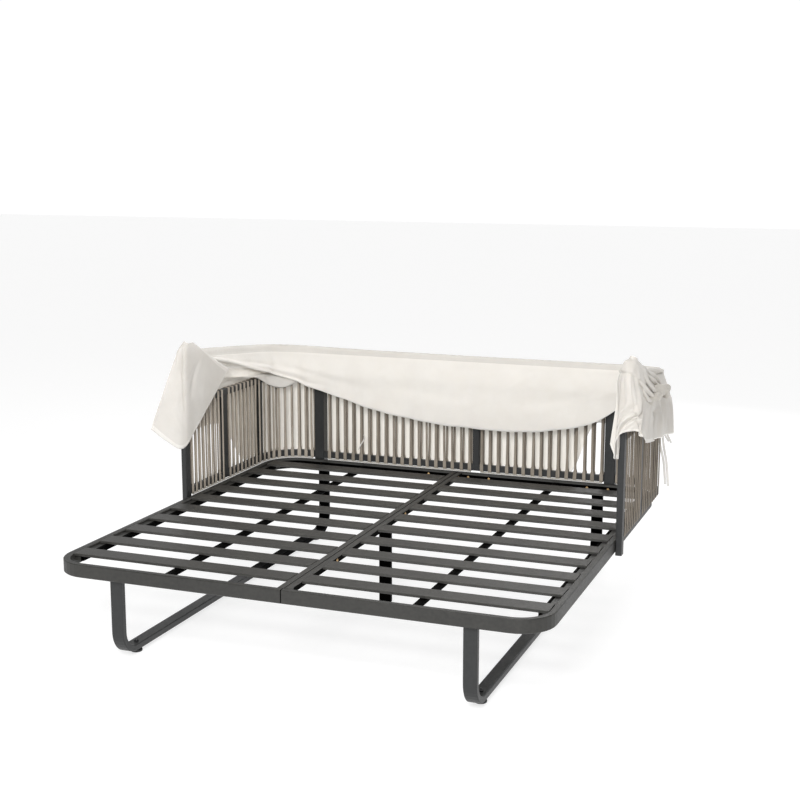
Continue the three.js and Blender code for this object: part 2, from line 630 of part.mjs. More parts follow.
function buildWovenPanels() {
  const armUpright = backPath.atSide(REAR_Y - ARM_UPRIGHT_INSET);
  const cornerUpright = backPath.atSide(REAR_Y - CORNER_UPRIGHT_INSET);
  const sideRuns = [
    [STRAP_MARGIN, armUpright - ARM_UPRIGHT_WIDTH - STRAP_MARGIN, ARM_GAPS],
    [armUpright + STRAP_MARGIN, cornerUpright - CORNER_UPRIGHT_WIDTH - STRAP_MARGIN, ARM_GAPS],
    [cornerUpright + STRAP_MARGIN, backPath.atAcross(-backPostOuter - STRAP_MARGIN), CORNER_GAPS],
  ];
  wovenPanel("woven_panel_left", sideRuns);
  const mirror = ([from, to, gaps]) => [backPath.length - to, backPath.length - from, gaps];
  wovenPanel("woven_panel_right", sideRuns.map(mirror).reverse());
  const middleHalf = MIDDLE_UPRIGHT_WIDTH / 2 + STRAP_MARGIN;
  const backLeft = backPath.atAcross(-backPostInner + LEFT_PANEL_MARGIN);
  const backRight = backPath.atAcross(backPostInner - STRAP_MARGIN);
  const middle = backPath.atAcross(MIDDLE_UPRIGHT_OFFSET);
  wovenPanel("woven_panel_back_left", [[backLeft, middle - middleHalf, BACK_LEFT_GAPS]]);
  wovenPanel("woven_panel_back_right", [[middle + middleHalf, backRight, BACK_RIGHT_GAPS]]);
}

// Front posts, with a hinge bracket on each and a bolt through the end of the bow
function alongX(diameter, length) {
  return new THREE.CylinderGeometry(diameter / 2, diameter / 2, length, ROUND_SIDES).rotateZ(Math.PI / 2);
}

const bracketHalf = BOW_TUBE / 2 + HINGE_SIDE_CLEARANCE + HINGE_PLATE;

function hingeBracket() {
  const base = POST_TOP + FIT_GAP;
  const top = PIVOT_Z + HINGE_ABOVE_PIVOT;
  const slot = bracketHalf - HINGE_PLATE;
  const outline = [
    [-bracketHalf, base],
    [bracketHalf, base],
    [bracketHalf, top],
    [slot, top],
    [slot, base + HINGE_PLATE],
    [-slot, base + HINGE_PLATE],
    [-slot, top],
    [-bracketHalf, top],
  ];
  const shape = new THREE.Shape(outline.map(([x, z]) => new THREE.Vector2(x, z)));
  const channel = new THREE.ExtrudeGeometry(shape, { depth: FRONT_POST_DEPTH, bevelEnabled: false });
  channel.translate(0, 0, -FRONT_POST_DEPTH / 2).rotateX(Math.PI / 2);
  const hole = alongX(BOLT_DIAMETER + 2 * BOLT_CLEARANCE, 3 * bracketHalf).translate(0, 0, PIVOT_Z);
  return geometryOf(solidOf(channel).subtract(solidOf(hole)));
}

function hingeBolt() {
  const reach = bracketHalf + FIT_GAP;
  const profile = [
    [0, -reach - BOLT_HEAD_HEIGHT],
    [BOLT_HEAD_DIAMETER / 2, -reach - BOLT_HEAD_HEIGHT],
    [BOLT_HEAD_DIAMETER / 2, -reach],
    [BOLT_DIAMETER / 2, -reach],
    [BOLT_DIAMETER / 2, reach],
    [BOLT_HEAD_DIAMETER / 2, reach],
    [BOLT_HEAD_DIAMETER / 2, reach + BOLT_HEAD_HEIGHT],
    [0, reach + BOLT_HEAD_HEIGHT],
  ];
  const lathe = new THREE.LatheGeometry(profile.map(([r, h]) => new THREE.Vector2(r, h)), ROUND_SIDES);
  return lathe.rotateZ(Math.PI / 2);
}

function buildFrontPost(side, sign) {
  const x = sign * BACK_HALF;
  const base = PLATFORM_HEIGHT - FRONT_POST_DROP;
  const post = upright(x, POST_Y, base, POST_TOP, BACK_TUBE_THICKNESS, FRONT_POST_DEPTH, POST_CHAMFER);
  add("front_post_" + side, post, "frame");
  add("hinge_bracket_" + side, hingeBracket(), "frame", new THREE.Vector3(x, POST_Y, 0));
  add("hinge_bolt_" + side, hingeBolt(), "steel", new THREE.Vector3(x, POST_Y, PIVOT_Z));
}

// The bow: a round tube bent like the backrest, folded back to just below level
const bowPath = new UPath(BACK_HALF, -BOW_END_OVERRUN, BOW_LENGTH, BACK_RADIUS);
const bowFrame = new THREE.Matrix4()
  .makeTranslation(0, POST_Y, PIVOT_Z)
  .multiply(new THREE.Matrix4().makeRotationX(-BOW_FOLD));

function buildBow() {
  const tube = tubeAlong(bowPath, 0, bowPath.length, roundSection(BOW_TUBE, BOW_SIDES));
  const hole = BOLT_DIAMETER + 2 * BOLT_CLEARANCE;
  let bow = solidOf(tube);
  for (const sign of [-1, 1]) {
    bow = bow.subtract(solidOf(alongX(hole, 2 * BOW_TUBE).translate(sign * BACK_HALF, 0, 0)));
  }
  const mesh = add("canopy_bow", geometryOf(bow), "frame");
  mesh.applyMatrix4(bowFrame);
}

// The front cloth: a sleeve over the bow, from which a swag hangs inside the backrest
function buildSwag() {
  const radius = BOW_TUBE / 2 + SLEEVE_CLEARANCE + CLOTH_THICKNESS / 2;
  const from = BOW_END_OVERRUN + SLEEVE_SETBACK;
  const to = bowPath.length - from;
  const start = THREE.MathUtils.degToRad(SLEEVE_START_DEGREES);
  const sweep = THREE.MathUtils.degToRad(SLEEVE_END_DEGREES) - start;
  const sleeveSteps = 6;
  const hangSteps = 5;
  const columns = bowPath.stations(from, to, STRAIGHT_STEP).map((s) => {
    const { place, outward } = bowPath.at(s);
    const middle = new THREE.Vector3(place.x, place.y, 0).applyMatrix4(bowFrame);
    const rows = [];
    const push = (out, up) => {
      rows.push(new THREE.Vector3(middle.x + out * outward.x, middle.y + out * outward.y, middle.z + up));
    };
    for (let k = 0; k <= sleeveSteps; k++) {
      const angle = start + (sweep * k) / sleeveSteps;
      push(radius * Math.cos(angle), radius * Math.sin(angle));
    }
    const drop = SWAG_DROP * readShares(swagDropShares, (s - from) / (to - from));
    for (let k = 1; k <= hangSteps; k++) {
      const depth = (drop * k) / hangSteps;
      const lean = Math.min(depth / SWAG_LEAN_DEPTH, 1);
      const fold = SWAG_FOLD * Math.sin((2 * Math.PI * s) / SWAG_FOLD_LENGTH) * lean;
      push(-radius - SWAG_FULLNESS * lean - fold, -depth);
    }
    return rows;
  });
  add("canopy_swag", sheetSolid(columns), "cloth");
}

// The outer cloth: from the bow over the backrest's top and down its outside
function buildOuterCloth() {
  const from = POST_Y + OUTER_LEFT_SETBACK - ARM_START_Y;
  const to = backPath.length - (POST_Y + OUTER_RIGHT_SETBACK - ARM_START_Y);
  const shoulder = PLATFORM_HEIGHT + OUTER_SHOULDER_RISE;
  const topSteps = 2;
  const hangSteps = 4;
  const columns = backPath.stations(from, to, BACK_STRAIGHT_STEP).map((s) => {
    const { place, outward } = backPath.at(s);
    const bowZ = PIVOT_Z - (place.y - POST_Y) * Math.tan(BOW_FOLD);
    const wave = Math.sin((2 * Math.PI * s) / OUTER_FOLD_LENGTH);
    const rows = [];
    const push = (out, z) => {
      rows.push(new THREE.Vector3(place.x + out * outward.x, place.y + out * outward.y, z));
    };
    for (let k = 0; k <= topSteps; k++) {
      const share = k / topSteps;
      const out = OUTER_START_OFFSET + (OUTER_OFFSET - OUTER_START_OFFSET) * share;
      push(out, bowZ + (shoulder - bowZ) * share);
    }
    const drop = OUTER_DROP * readShares(outerHemShares, (s - from) / (to - from));
    for (let k = 1; k <= hangSteps; k++) {
      const share = k / hangSteps;
      push(OUTER_OFFSET + OUTER_FOLD * wave * share, shoulder - drop * share);
    }
    return rows;
  });
  add("canopy_outer_cloth", sheetSolid(columns), "cloth");
}

// Cloth heaped over a post: a smooth sheet through the places that its shares name
function drapeOverPost(name, sign, length, shares, steps) {
  const lines = shares.map((column) => {
    const points = column.map(([out, back, up]) => {
      const place = new THREE.Vector3(out * sign, back, up).multiplyScalar(length);
      return place.add(new THREE.Vector3(sign * BACK_HALF, POST_Y, POST_TOP));
    });
    return new THREE.CatmullRomCurve3(points);
  });
  const rows = [];
  for (let j = 0; j <= steps.down; j++) {
    const across = new THREE.CatmullRomCurve3(lines.map((line) => line.getPoint(j / steps.down)));
    rows.push(across.getPoints(steps.across));
  }
  const columns = rows[0].map((_, i) => rows.map((row) => row[i]));
  add(name, sheetSolid(columns), "cloth");
}

for (const [side, sign] of [["left", -1], ["right", 1]]) {
  buildPlatformHalf(side, sign);
  buildSledLeg(side, sign);
  buildFrontPost(side, sign);
}
buildFeet();
buildBackFrame();
buildWovenPanels();
buildBow();
buildSwag();
buildOuterCloth();
drapeOverPost("canopy_flap_left", -1, FLAP_LENGTH, flapShares, { across: 12, down: 10 });
drapeOverPost("canopy_fall_right", 1, FALL_LENGTH, fallShares, { across: 15, down: 10 });

export default part;
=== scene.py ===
# %% [markdown]
# # Outdoor daybed with a canopy
#
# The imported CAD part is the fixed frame. This lesson gives every piece its finish, replaces the plain
# woven panels and the plain cloth by detailed ones, adds the small fixings and lights the whole.
# Metres, +Z up, +Y towards the backrest, as in the CAD. The CAD's own solids are never moved, so what
# is added has to fit round them.

# %% Start
import json
import math

import bpy
import numpy as np
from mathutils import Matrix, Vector


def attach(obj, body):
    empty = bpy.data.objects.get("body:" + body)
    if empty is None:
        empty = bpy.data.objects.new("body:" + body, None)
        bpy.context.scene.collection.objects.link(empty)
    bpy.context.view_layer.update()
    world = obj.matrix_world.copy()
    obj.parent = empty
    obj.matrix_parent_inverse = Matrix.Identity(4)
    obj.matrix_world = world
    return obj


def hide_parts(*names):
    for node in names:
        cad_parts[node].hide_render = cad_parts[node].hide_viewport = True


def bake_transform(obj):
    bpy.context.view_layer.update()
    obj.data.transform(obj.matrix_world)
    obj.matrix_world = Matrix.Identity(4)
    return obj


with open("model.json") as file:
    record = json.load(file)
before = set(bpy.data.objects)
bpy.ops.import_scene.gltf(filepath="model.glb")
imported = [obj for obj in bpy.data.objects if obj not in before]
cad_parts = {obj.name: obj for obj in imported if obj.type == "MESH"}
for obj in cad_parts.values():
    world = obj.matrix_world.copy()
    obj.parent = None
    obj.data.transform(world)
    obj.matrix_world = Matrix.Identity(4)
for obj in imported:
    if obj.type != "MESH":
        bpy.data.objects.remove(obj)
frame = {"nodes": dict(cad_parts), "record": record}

# %% [markdown]
# ## Sizes
#
# These repeat the CAD's driving sizes, because the cloth and the straps follow its rails and its bow.
# They could be measured on the loaded meshes instead, but a named number is easier to read and to trust.

# %% Sizes
FRONT_Y = -0.9855
PLATFORM_TOP = 0.365
PLATFORM_DEPTH = 1.925
RAIL_THICK = 0.050
POST_Y = FRONT_Y + 1.040
ARM_START_Y = FRONT_Y + 1.060
POST_TOP = PLATFORM_TOP + 0.601
BACK_HALF = 0.963
BACK_Y = 0.9525
BACK_RADIUS = 0.173
PIVOT_Z = POST_TOP + 0.024
BOW_FOLD = math.radians(5.6)
BOW_LENGTH = (BACK_Y - POST_Y) / math.cos(BOW_FOLD)
BOW_OVERRUN = 0.011
RAIL_LOW = PLATFORM_TOP + 0.007
RAIL_HIGH = PLATFORM_TOP + 0.423
HALF_TUBE = 0.0125
rng = np.random.default_rng(7)
print("platform top at", PLATFORM_TOP, "m, bow", round(BOW_LENGTH, 3), "m from its pivot")

# %% [markdown]
# ## Materials written as sums
#
# A finish is a graph of nodes. It could be wired by hand in the shader editor, but a pattern written as
# arithmetic is shorter and can be reused. `Value` wraps one output of a node, and each operator on it
# adds a Math node. `Graph.node` adds any other node from its type, settings and inputs.

# %% Node helpers
class Value:
    def __init__(self, graph, socket):
        self.graph = graph
        self.socket = socket

    def math(self, operation, *others, first=None):
        values = [self, *others] if first is None else [first, self]
        return self.graph.node("ShaderNodeMath", {"operation": operation}, dict(enumerate(values)))

    def __add__(self, other):
        return self.math("ADD", other)

    def __radd__(self, other):
        return self.math("ADD", first=other)

    def __sub__(self, other):
        return self.math("SUBTRACT", other)

    def __rsub__(self, other):
        return self.math("SUBTRACT", first=other)

    def __mul__(self, other):
        return self.math("MULTIPLY", other)

    def __rmul__(self, other):
        return self.math("MULTIPLY", first=other)

    def clamp(self, low=0, high=1):
        return self.math("MAXIMUM", low).math("MINIMUM", high)


class Graph:
    def __init__(self, name):
        self.material = bpy.data.materials.new(name)
        self.material.use_nodes = True
        self.tree = self.material.node_tree
        self.tree.nodes.clear()
        self.shader = self.tree.nodes.new("ShaderNodeBsdfPrincipled")
        self.output = self.tree.nodes.new("ShaderNodeOutputMaterial")
        self.tree.links.new(self.shader.outputs["BSDF"], self.output.inputs["Surface"])

    def put(self, socket, value):
        if isinstance(value, Value):
            self.tree.links.new(value.socket, socket)
        else:
            socket.default_value = value

    def node(self, kind, settings=None, inputs=None, output=0):
        node = self.tree.nodes.new(kind)
        for key, value in (settings or {}).items():
            setattr(node, key, value)
        for key, value in (inputs or {}).items():
            self.put(node.inputs[key], value)
        return Value(self, node.outputs[output])

    def place(self):
        return self.node("ShaderNodeTexCoord", output="Object")

    def noise(self, scale, detail=3.0, vector=None, roughness=0.5):
        vector = self.place() if vector is None else vector
        inputs = {"Scale": scale, "Detail": detail, "Roughness": roughness, "Vector": vector}
        return self.node("ShaderNodeTexNoise", None, inputs, output="Fac")

    def parts(self):
        """The three coordinates of the place."""
        place = self.place()
        return [self.node("ShaderNodeSeparateXYZ", None, {0: place}, output=k) for k in range(3)]

    def stretched(self, x, y, z):
        """The place with each axis scaled, for a pattern that runs along one of them."""
        settings = {"operation": "MULTIPLY"}
        return self.node("ShaderNodeVectorMath", settings, {0: self.place(), 1: (x, y, z)})

    def colour(self, factor, low, high):
        """A mix of two colours, each plain or already a mix."""
        settings = {"data_type": "RGBA"}
        low, high = (c if isinstance(c, Value) else (*c, 1) for c in (low, high))
        inputs = {0: factor, 6: low, 7: high}
        return self.node("ShaderNodeMix", settings, inputs, output=2)

    def bump(self, height, distance, strength=1.0, normal=None):
        inputs = {"Height": height, "Distance": distance, "Strength": strength}
        if normal is not None:
            inputs["Normal"] = normal
        return self.node("ShaderNodeBump", None, inputs, output="Normal")

    def finish(self, **inputs):
        """Fills the shader's sockets: base_color is its Base Color, and so on."""
        for key, value in inputs.items():
            self.put(self.shader.inputs[key.replace("_", " ").title()], value)
        return self.material


print("node helpers ready")

# %% [markdown]
# ## Painted metal
#
# A warm dark grey powder coat: a fine orange-peel skin, faint cloudy wear and a little dust. A photo of
# the paint could be wrapped round it, but noise in object space has no seams and works on every bar.
# Below the slats the real frame lies in deep shade, which the broad lamps here would fill. So the paint
# itself turns dark there: a metal of a near black colour mirrors hardly any of the white room.

# %% Where the frame is in shade
RAIL_INSIDE_X = 0.950 - RAIL_THICK - 0.0002
RAIL_INSIDE_Y = FRONT_Y + RAIL_THICK + 0.001
SLAT_UNDERSIDE = PLATFORM_TOP - 0.0095
SEAM_EDGE = PLATFORM_TOP - 0.003
JOINT_LINE = 0.0022
LEG_LIT_Z = 0.06
RUNNER_LIT_Y = -0.150
SHARP = 2400
JOINT_SHARP = 1500
FRONT_SHARP = 800.0
LEG_SOFT = 40
RUNNER_SOFT = 8
SHADE_TONE = 0.15
print("the paint turns dark below", round(SLAT_UNDERSIDE, 4), "m")


# %% Painted metal
def painted_metal(name, low, high, rough, shade=0.0, shade_from=RAIL_INSIDE_Y, fade=FRONT_SHARP,
                  shade_top=SLAT_UNDERSIDE):
    """Paint from low to high colours. Below the slats and in the joint of the halves it is dark: shade."""
    g = Graph(name)
    cloud = g.noise(3.5, 4.0)
    streak = g.noise(1.0, 3.0, g.stretched(9, 9, 2))
    speckle = g.noise(85.0, 3.0)
    grain = g.noise(420.0, 2.0)
    peel = g.noise(900.0, 2.0)
    blend = (cloud * 0.6 + streak * 0.5 + grain * 0.25 + speckle * 1.1 - 0.8).clamp()
    x, y, z = g.parts()
    aside = x.math("ABSOLUTE")
    within = ((RAIL_INSIDE_X - aside) * SHARP).clamp() * ((y - shade_from) * fade).clamp()
    runner = ((y - RUNNER_LIT_Y) * RUNNER_SOFT).clamp()
    above_floor = (((z - LEG_LIT_Z) * LEG_SOFT).clamp() + runner).clamp()
    below = ((shade_top - z) * SHARP).clamp() * above_floor
    joint_line = ((JOINT_LINE - aside) * JOINT_SHARP).clamp()
    dark = ((within * below + joint_line) * shade).clamp()
    return g.finish(
        base_color=g.colour(dark, g.colour(blend, low, high), [c * SHADE_TONE for c in low]),
        roughness=(rough + (cloud - 0.5) * 0.16 + (speckle - 0.5) * 0.25 + dark * 0.5).clamp(),
        metallic=dark,
        normal=g.bump(peel + grain * 0.4, 0.0004, 0.55),
    )


SLAT_GREY = (0.020, 0.0195, 0.0175), (0.048, 0.046, 0.041)
# darker copies of the slats' grey for the rails and for the posts and legs: painted shade
RAIL_SHADED_GREY = (0.012, 0.0117, 0.0105), (0.034, 0.033, 0.029)
POST_SHADED_GREY = (0.008, 0.0088, 0.0092), (0.021, 0.022, 0.0225)
frame_paint = painted_metal("frame_paint", *SLAT_GREY, 0.5, shade=1.0)
seam_paint = painted_metal("seam_paint", *SLAT_GREY, 0.5, shade=1.0, shade_top=SEAM_EDGE)
rail_paint = painted_metal("rail_paint", *RAIL_SHADED_GREY, 0.5, shade=1.0)
post_paint = painted_metal("post_paint", *POST_SHADED_GREY, 0.46)
leg_paint = painted_metal("leg_paint", *POST_SHADED_GREY, 0.46, shade=1.0, shade_from=0.0, fade=5.0)
paints = (frame_paint, seam_paint, rail_paint, post_paint, leg_paint)
print("painted metal:", ", ".join(paint.name for paint in paints))

# %% [markdown]
# ## Strap finish
#
# The straps are flat braids with fibres along their length. Their threads could be modelled, but from
# the camera's five metres noise stretched along the strap reads the same. The picture shows the left
# arm's straps brighter than these lamps make them, so they get paler colours.

# %% Strap material
def strap_material(name, low, high):
    g = Graph(name)
    along = g.noise(1.0, 3.0, g.stretched(110, 110, 14))
    fibre = g.noise(1.0, 4.0, g.stretched(900, 900, 160))
    cloud = g.noise(6.0, 3.0)
    blend = (along * 0.75 + fibre * 0.45 + cloud * 0.3 - 0.28).clamp()
    return g.finish(
        base_color=g.colour(blend, low, high),
        roughness=(0.72 + (fibre - 0.5) * 0.25).clamp(),
        normal=g.bump(fibre + along * 0.5, 0.0007, 0.6),
    )


strap = strap_material("strap_weave", (0.10, 0.082, 0.062), (0.42, 0.365, 0.30))
lit_strap = strap_material("lit_strap_weave", (0.15, 0.125, 0.098), (0.57, 0.505, 0.425))
binding = strap_material("binding_weave", (0.32, 0.3, 0.26), (0.55, 0.52, 0.46))
print("straps:", strap.name, lit_strap.name, binding.name)

# %% [markdown]
# ## Cloth finish
#
# The canopy cloth is a plain weave whose threads show as a fine bump, with soft dirt in broad clouds.
# A translucent sheet could carry the light that shines through it. Subsurface scattering was chosen,
# because it also softens the folds. Its three depths are nearly equal, which keeps the cloth's tone.

# %% Cloth material
def cloth_material(name, low, high, thread=260.0, relief=0.25, depths=(0.0052, 0.0054, 0.0057)):
    g = Graph(name)

    def bands(direction):
        inputs = {"Scale": thread, "Vector": g.place()}
        return g.node("ShaderNodeTexWave", {"bands_direction": direction}, inputs, output=1)

    cloud = g.noise(4.0, 4.0)
    soil = g.noise(17.0, 5.0)
    slub = g.noise(1.0, 3.0, g.stretched(60, 60, 900))
    crumple = g.noise(26.0, 3.0, roughness=0.45)
    blend = (cloud * 0.7 + soil * 0.35 + slub * 0.2 - 0.15).clamp()
    threads = g.bump(bands("X") + bands("Z") + slub * 0.6, 0.0003, relief)
    return g.finish(
        base_color=g.colour(blend, low, high),
        roughness=(0.86 + (soil - 0.5) * 0.1).clamp(),
        sheen_weight=0.1,
        subsurface_weight=0.7,
        subsurface_radius=depths,
        subsurface_scale=1.0,
        normal=g.bump(crumple, 0.003, 0.35, threads),
    )


canvas = cloth_material("canopy_canvas", (0.80, 0.745, 0.67), (0.94, 0.905, 0.845))
# a darker copy of the canvas for the flap, the heap, the gathers and the outer cloth's right end: painted
# shade
shaded_canvas = cloth_material("shaded_canvas", (0.49, 0.46, 0.42), (0.675, 0.645, 0.60))
glowing_canvas = cloth_material(
    "glowing_canvas", (0.74, 0.675, 0.59), (0.91, 0.86, 0.78), depths=(0.0060, 0.0059, 0.0057))
# a still darker copy of the canvas for the roll: painted shade
shaded_knot_canvas = cloth_material("shaded_knot_canvas", (0.40, 0.37, 0.325), (0.62, 0.585, 0.53))
band_canvas = cloth_material("sleeve_canvas", (0.60, 0.565, 0.515), (0.78, 0.745, 0.69), 180.0, 0.5)
hem_canvas = cloth_material("hem_canvas", (0.80, 0.765, 0.71), (0.92, 0.895, 0.85), relief=0.3)
# a darker copy of the hem for the flap, the heap and the ties: painted shade
shaded_hem = cloth_material("shaded_hem", (0.60, 0.57, 0.53), (0.76, 0.73, 0.685), relief=0.3)
print("cloth:", canvas.name, "and six more")

# %% [markdown]
# ## Rubber and bolt finishes
#
# The glides under the legs are black rubber, the bolts are bright or bronze coloured metal. They are a
# few pixels wide here, so one plain recipe of cloud and grain serves for all of them.

# %% Rubber and steel
def simple(name, low, high, rough, metallic, scale):
    g = Graph(name)
    cloud = g.noise(scale, 3.0)
    grain = g.noise(scale * 12, 2.0)
    return g.finish(
        base_color=g.colour(cloud, low, high),
        roughness=(rough + (grain - 0.5) * 0.2).clamp(),
        metallic=metallic,
        normal=g.bump(grain, 0.0003, 0.5),
    )


rubber = simple("foot_rubber", (0.012, 0.012, 0.012), (0.028, 0.028, 0.028), 0.6, 0.0, 60.0)
steel = simple("bolt_steel", (0.05, 0.05, 0.053), (0.12, 0.12, 0.125), 0.4, 1.0, 90.0)
bronze = simple("bolt_bronze", (0.3, 0.19, 0.09), (0.52, 0.36, 0.19), 0.38, 1.0, 90.0)
print("materials:", len(bpy.data.materials))

# %% [markdown]
# ## Finishes on the CAD nodes
#
# The record says which material slot each node takes, so no list of nodes is needed. The posts, the legs
# and the rails take darker copies of the same paint, picked by how a node's name begins: painted shade.

# %% Paint the frame
slot_material = {"frame": frame_paint, "strap": strap, "foot": rubber, "cloth": canvas, "steel": steel}
own_paint = {"outer_rail": rail_paint, "seam_rail": seam_paint, "sled_leg": leg_paint}
for start in ("front_post", "back_post", "hinge_bracket", "bottom_rail", "top_rail"):
    own_paint[start] = post_paint
for row in frame["record"]["subparts"]:
    node = frame["nodes"][row["node"]]
    own = [paint for start, paint in own_paint.items() if row["node"].startswith(start)]
    node.data.materials.clear()
    node.data.materials.append(own[0] if own else slot_material[row["material_slot"]])
print("painted", len(frame["nodes"]), "nodes")

# %% [markdown]
# ## Paths and meshes
#
# The back rails and the bow share one plan: a U with round corners. A Blender curve could hold it, but
# a small class answers any distance at once, so that straps and cloth can be laid along it.
# `UPath.at` gives the place and the outward side at a distance.

# %% The U-shaped path
class UPath:
    def __init__(self, half, start, end, radius):
        self.half, self.start, self.end, self.radius = half, start, end, radius
        self.side = end - radius - start
        self.arc = math.pi / 2 * radius
        self.length = 2 * self.side + 2 * self.arc + 2 * (half - radius)

    def at(self, distance):
        distance = np.asarray(distance, float)
        mirrored = distance > self.length / 2
        s = np.where(mirrored, self.length - distance, distance)
        sign = np.where(mirrored, 1.0, -1.0)
        turn = np.clip((s - self.side) / self.radius, 0, math.pi / 2)
        across = np.clip(s - self.side - self.arc, 0, None)
        x = self.half - self.radius * (1 - np.cos(turn)) - across
        y = self.start + np.minimum(s, self.side) + self.radius * np.sin(turn)
        return np.stack([sign * x, y], -1), np.stack([sign * np.cos(turn), np.sin(turn)], -1)


back = UPath(BACK_HALF, ARM_START_Y, BACK_Y, BACK_RADIUS)
bow = UPath(BACK_HALF, -BOW_OVERRUN, BOW_LENGTH, BACK_RADIUS)
print("back rails", round(back.length, 3), "m long, bow", round(bow.length, 3), "m long")


# %% Meshes and smooth lines
def bow_place(distance):
    """The place on the folded bow's middle line, and its outward side in plan."""
    place, outward = bow.at(distance)
    y = POST_Y + place[..., 1] * math.cos(BOW_FOLD)
    z = PIVOT_Z - place[..., 1] * math.sin(BOW_FOLD)
    return np.stack([place[..., 0], y, z], -1), outward


def mesh_piece(name, vertices, faces, materials, faces_material=None):
    mesh = bpy.data.meshes.new(name)
    mesh.from_pydata([tuple(v) for v in vertices], [], [tuple(f) for f in faces])
    for material in materials:
        mesh.materials.append(material)
    if faces_material is not None:
        mesh.polygons.foreach_set("material_index", np.asarray(faces_material, np.int32))
    mesh.polygons.foreach_set("use_smooth", np.full(len(faces), True))
    mesh.update()
    piece = bpy.data.objects.new(name, mesh)
    bpy.context.scene.collection.objects.link(piece)
    return piece


def smooth_shares(table, at):
    """Values of a given table, eased between its rows."""
    shares = np.array([row[0] for row in table])
    values = np.array([row[1] for row in table])
    fine = np.linspace(0, 1, 801)
    line = np.interp(fine, shares, values)
    window = 41
    kernel = np.hanning(window)
    kernel /= kernel.sum()
    eased = np.convolve(np.pad(line, window // 2, mode="edge"), kernel, "valid")
    return np.interp(at, fine, eased)


def curve_through(points, count):
    """Places evenly spread over a smooth line through given points (last axes: point, xyz)."""
    points = np.asarray(points, float)
    n = points.shape[-2]
    ends = (2 * points[..., :1, :] - points[..., 1:2, :], 2 * points[..., -1:, :] - points[..., -2:-1, :])
    padded = np.concatenate([ends[0], points, ends[1]], -2)
    t = np.linspace(0, n - 1, count)
    i = np.minimum(t.astype(int), n - 2)
    f = (t - i)[:, None]
    a, b, c, d = (np.take(padded, i + k, -2) for k in range(4))
    return 0.5 * (2 * b + (c - a) * f + (2 * a - 5 * b + 4 * c - d) * f**2 + (3 * b - a - 3 * c + d) * f**3)


def ease(x):
    """A soft step from 0 to 1."""
    x = np.clip(x, 0, 1)
    return x * x * (3 - 2 * x)


def waves(s, *rows):
    """A sum of waves. A row: height, length, start."""
    return sum(rise * np.sin(2 * np.pi * s / length + start) for rise, length, start in rows)


print("mesh and curve helpers ready")

# %% [markdown]
# ## Straps
#
# Each strap is a loop round both rails with rounded corners and two ribs. It spreads where it hooks
# round a rail and draws together between them. One loop could be copied by an array modifier, but here
# each is swept on its own, because no two real ones hang quite alike.

# %% Strap sizes
STRAP_WIDTH = 0.010
HOOK_WIDTH = 0.0175
HOOK_REACH = 0.033
HOOK_FADE = 0.012
STRAP_THICK = 0.0022
CORD_WIDTH = 0.0115
CORD_THICK = 0.0045
LOOP_BEND = 0.005
LOOP_STEPS = 4
BEND_INNER = BACK_RADIUS - HALF_TUBE
BEND_SLACK = BEND_INNER - math.sqrt((BEND_INNER * math.cos(math.pi / 36)) ** 2 - (STRAP_WIDTH / 2) ** 2)
RAIL_GAP = 0.0003
UPRIGHT_STOPS = (0.03, 0.062, 0.075, 0.1, 0.2, 0.35, 0.5, 0.65, 0.8, 0.9, 0.925, 0.938, 0.97)
STRAP_SECTION = [
    (-1, -0.3), (-0.9, 0.7), (-0.5, 1), (-0.12, 0.65), (0, -0.1), (0.12, 0.65), (0.5, 1), (0.9, 0.7),
    (1, -0.3), (0.6, -1), (-0.6, -1),
]
BINDING_SECTION = (
    (-0.0109, 0.0010), (-0.0148, 0.0010), (-0.0153, 0.0035), (-0.0148, 0.0061), (-0.0109, 0.0061),
)
BINDING_RINGS = 60
print("slack round the bends:", round(BEND_SLACK * 1000, 2), "mm")


# %% Strap loops
def strap_path(slack):
    """A rounded upright rectangle round both rails, as (outward, up) places and normals."""
    gap = RAIL_GAP + STRAP_THICK / 2
    left, right = -HALF_TUBE - gap - slack, HALF_TUBE + gap
    low, high = RAIL_LOW - gap, RAIL_HIGH + gap
    corners = [(right, high, 0), (left, high, 1), (left, low, 2), (right, low, 3)]
    places, normals = [], []
    for x, z, quarter in corners:
        sx, sz = (1 if x > 0 else -1), (1 if z == high else -1)
        for k in range(LOOP_STEPS + 1):
            angle = (quarter + k / LOOP_STEPS) * math.pi / 2
            n = (math.cos(angle), math.sin(angle))
            normals.append(n)
            places.append((x + LOOP_BEND * (n[0] - sx), z + LOOP_BEND * (n[1] - sz)))
        if quarter in (1, 3):
            last = places[-1]
            end = low + LOOP_BEND if quarter == 1 else high - LOOP_BEND
            for share in UPRIGHT_STOPS:
                places.append((last[0], last[1] + (end - last[1]) * share))
                normals.append(normals[-1])
    return np.array(places), np.array(normals)


def strap_loop(distance, slack):
    """One loop as rings of its section, with its own sway and width."""
    ring, normals = strap_path(slack)
    place, outward = back.at(distance)
    heading = np.array([outward[1], -outward[0]])
    up = (ring[:, 1] - RAIL_LOW) / (RAIL_HIGH - RAIL_LOW)
    sway = rng.normal(0, 0.0011) + rng.normal(0, 0.0022) * np.sin(np.pi * up) * np.sign(ring[:, 0])
    from_rail = np.minimum(ring[:, 1] - RAIL_LOW, RAIL_HIGH - ring[:, 1])
    hooked = 1 - ease((from_rail - HOOK_REACH) / HOOK_FADE)
    spread = (CORD_WIDTH + (HOOK_WIDTH - CORD_WIDTH) * hooked) / 2 * (1 + rng.normal(0, 0.04))
    half_thick = (CORD_THICK + (STRAP_THICK - CORD_THICK) * hooked) / 2
    vertices = []
    for w, t in STRAP_SECTION:
        thick = t * half_thick
        out = ring[:, 0] + normals[:, 0] * thick
        z = ring[:, 1] + normals[:, 1] * thick
        side = w * spread + sway
        xy = place + out[:, None] * outward + side[:, None] * heading
        vertices.append(np.column_stack([xy, z]))
    return np.stack(vertices, 1)


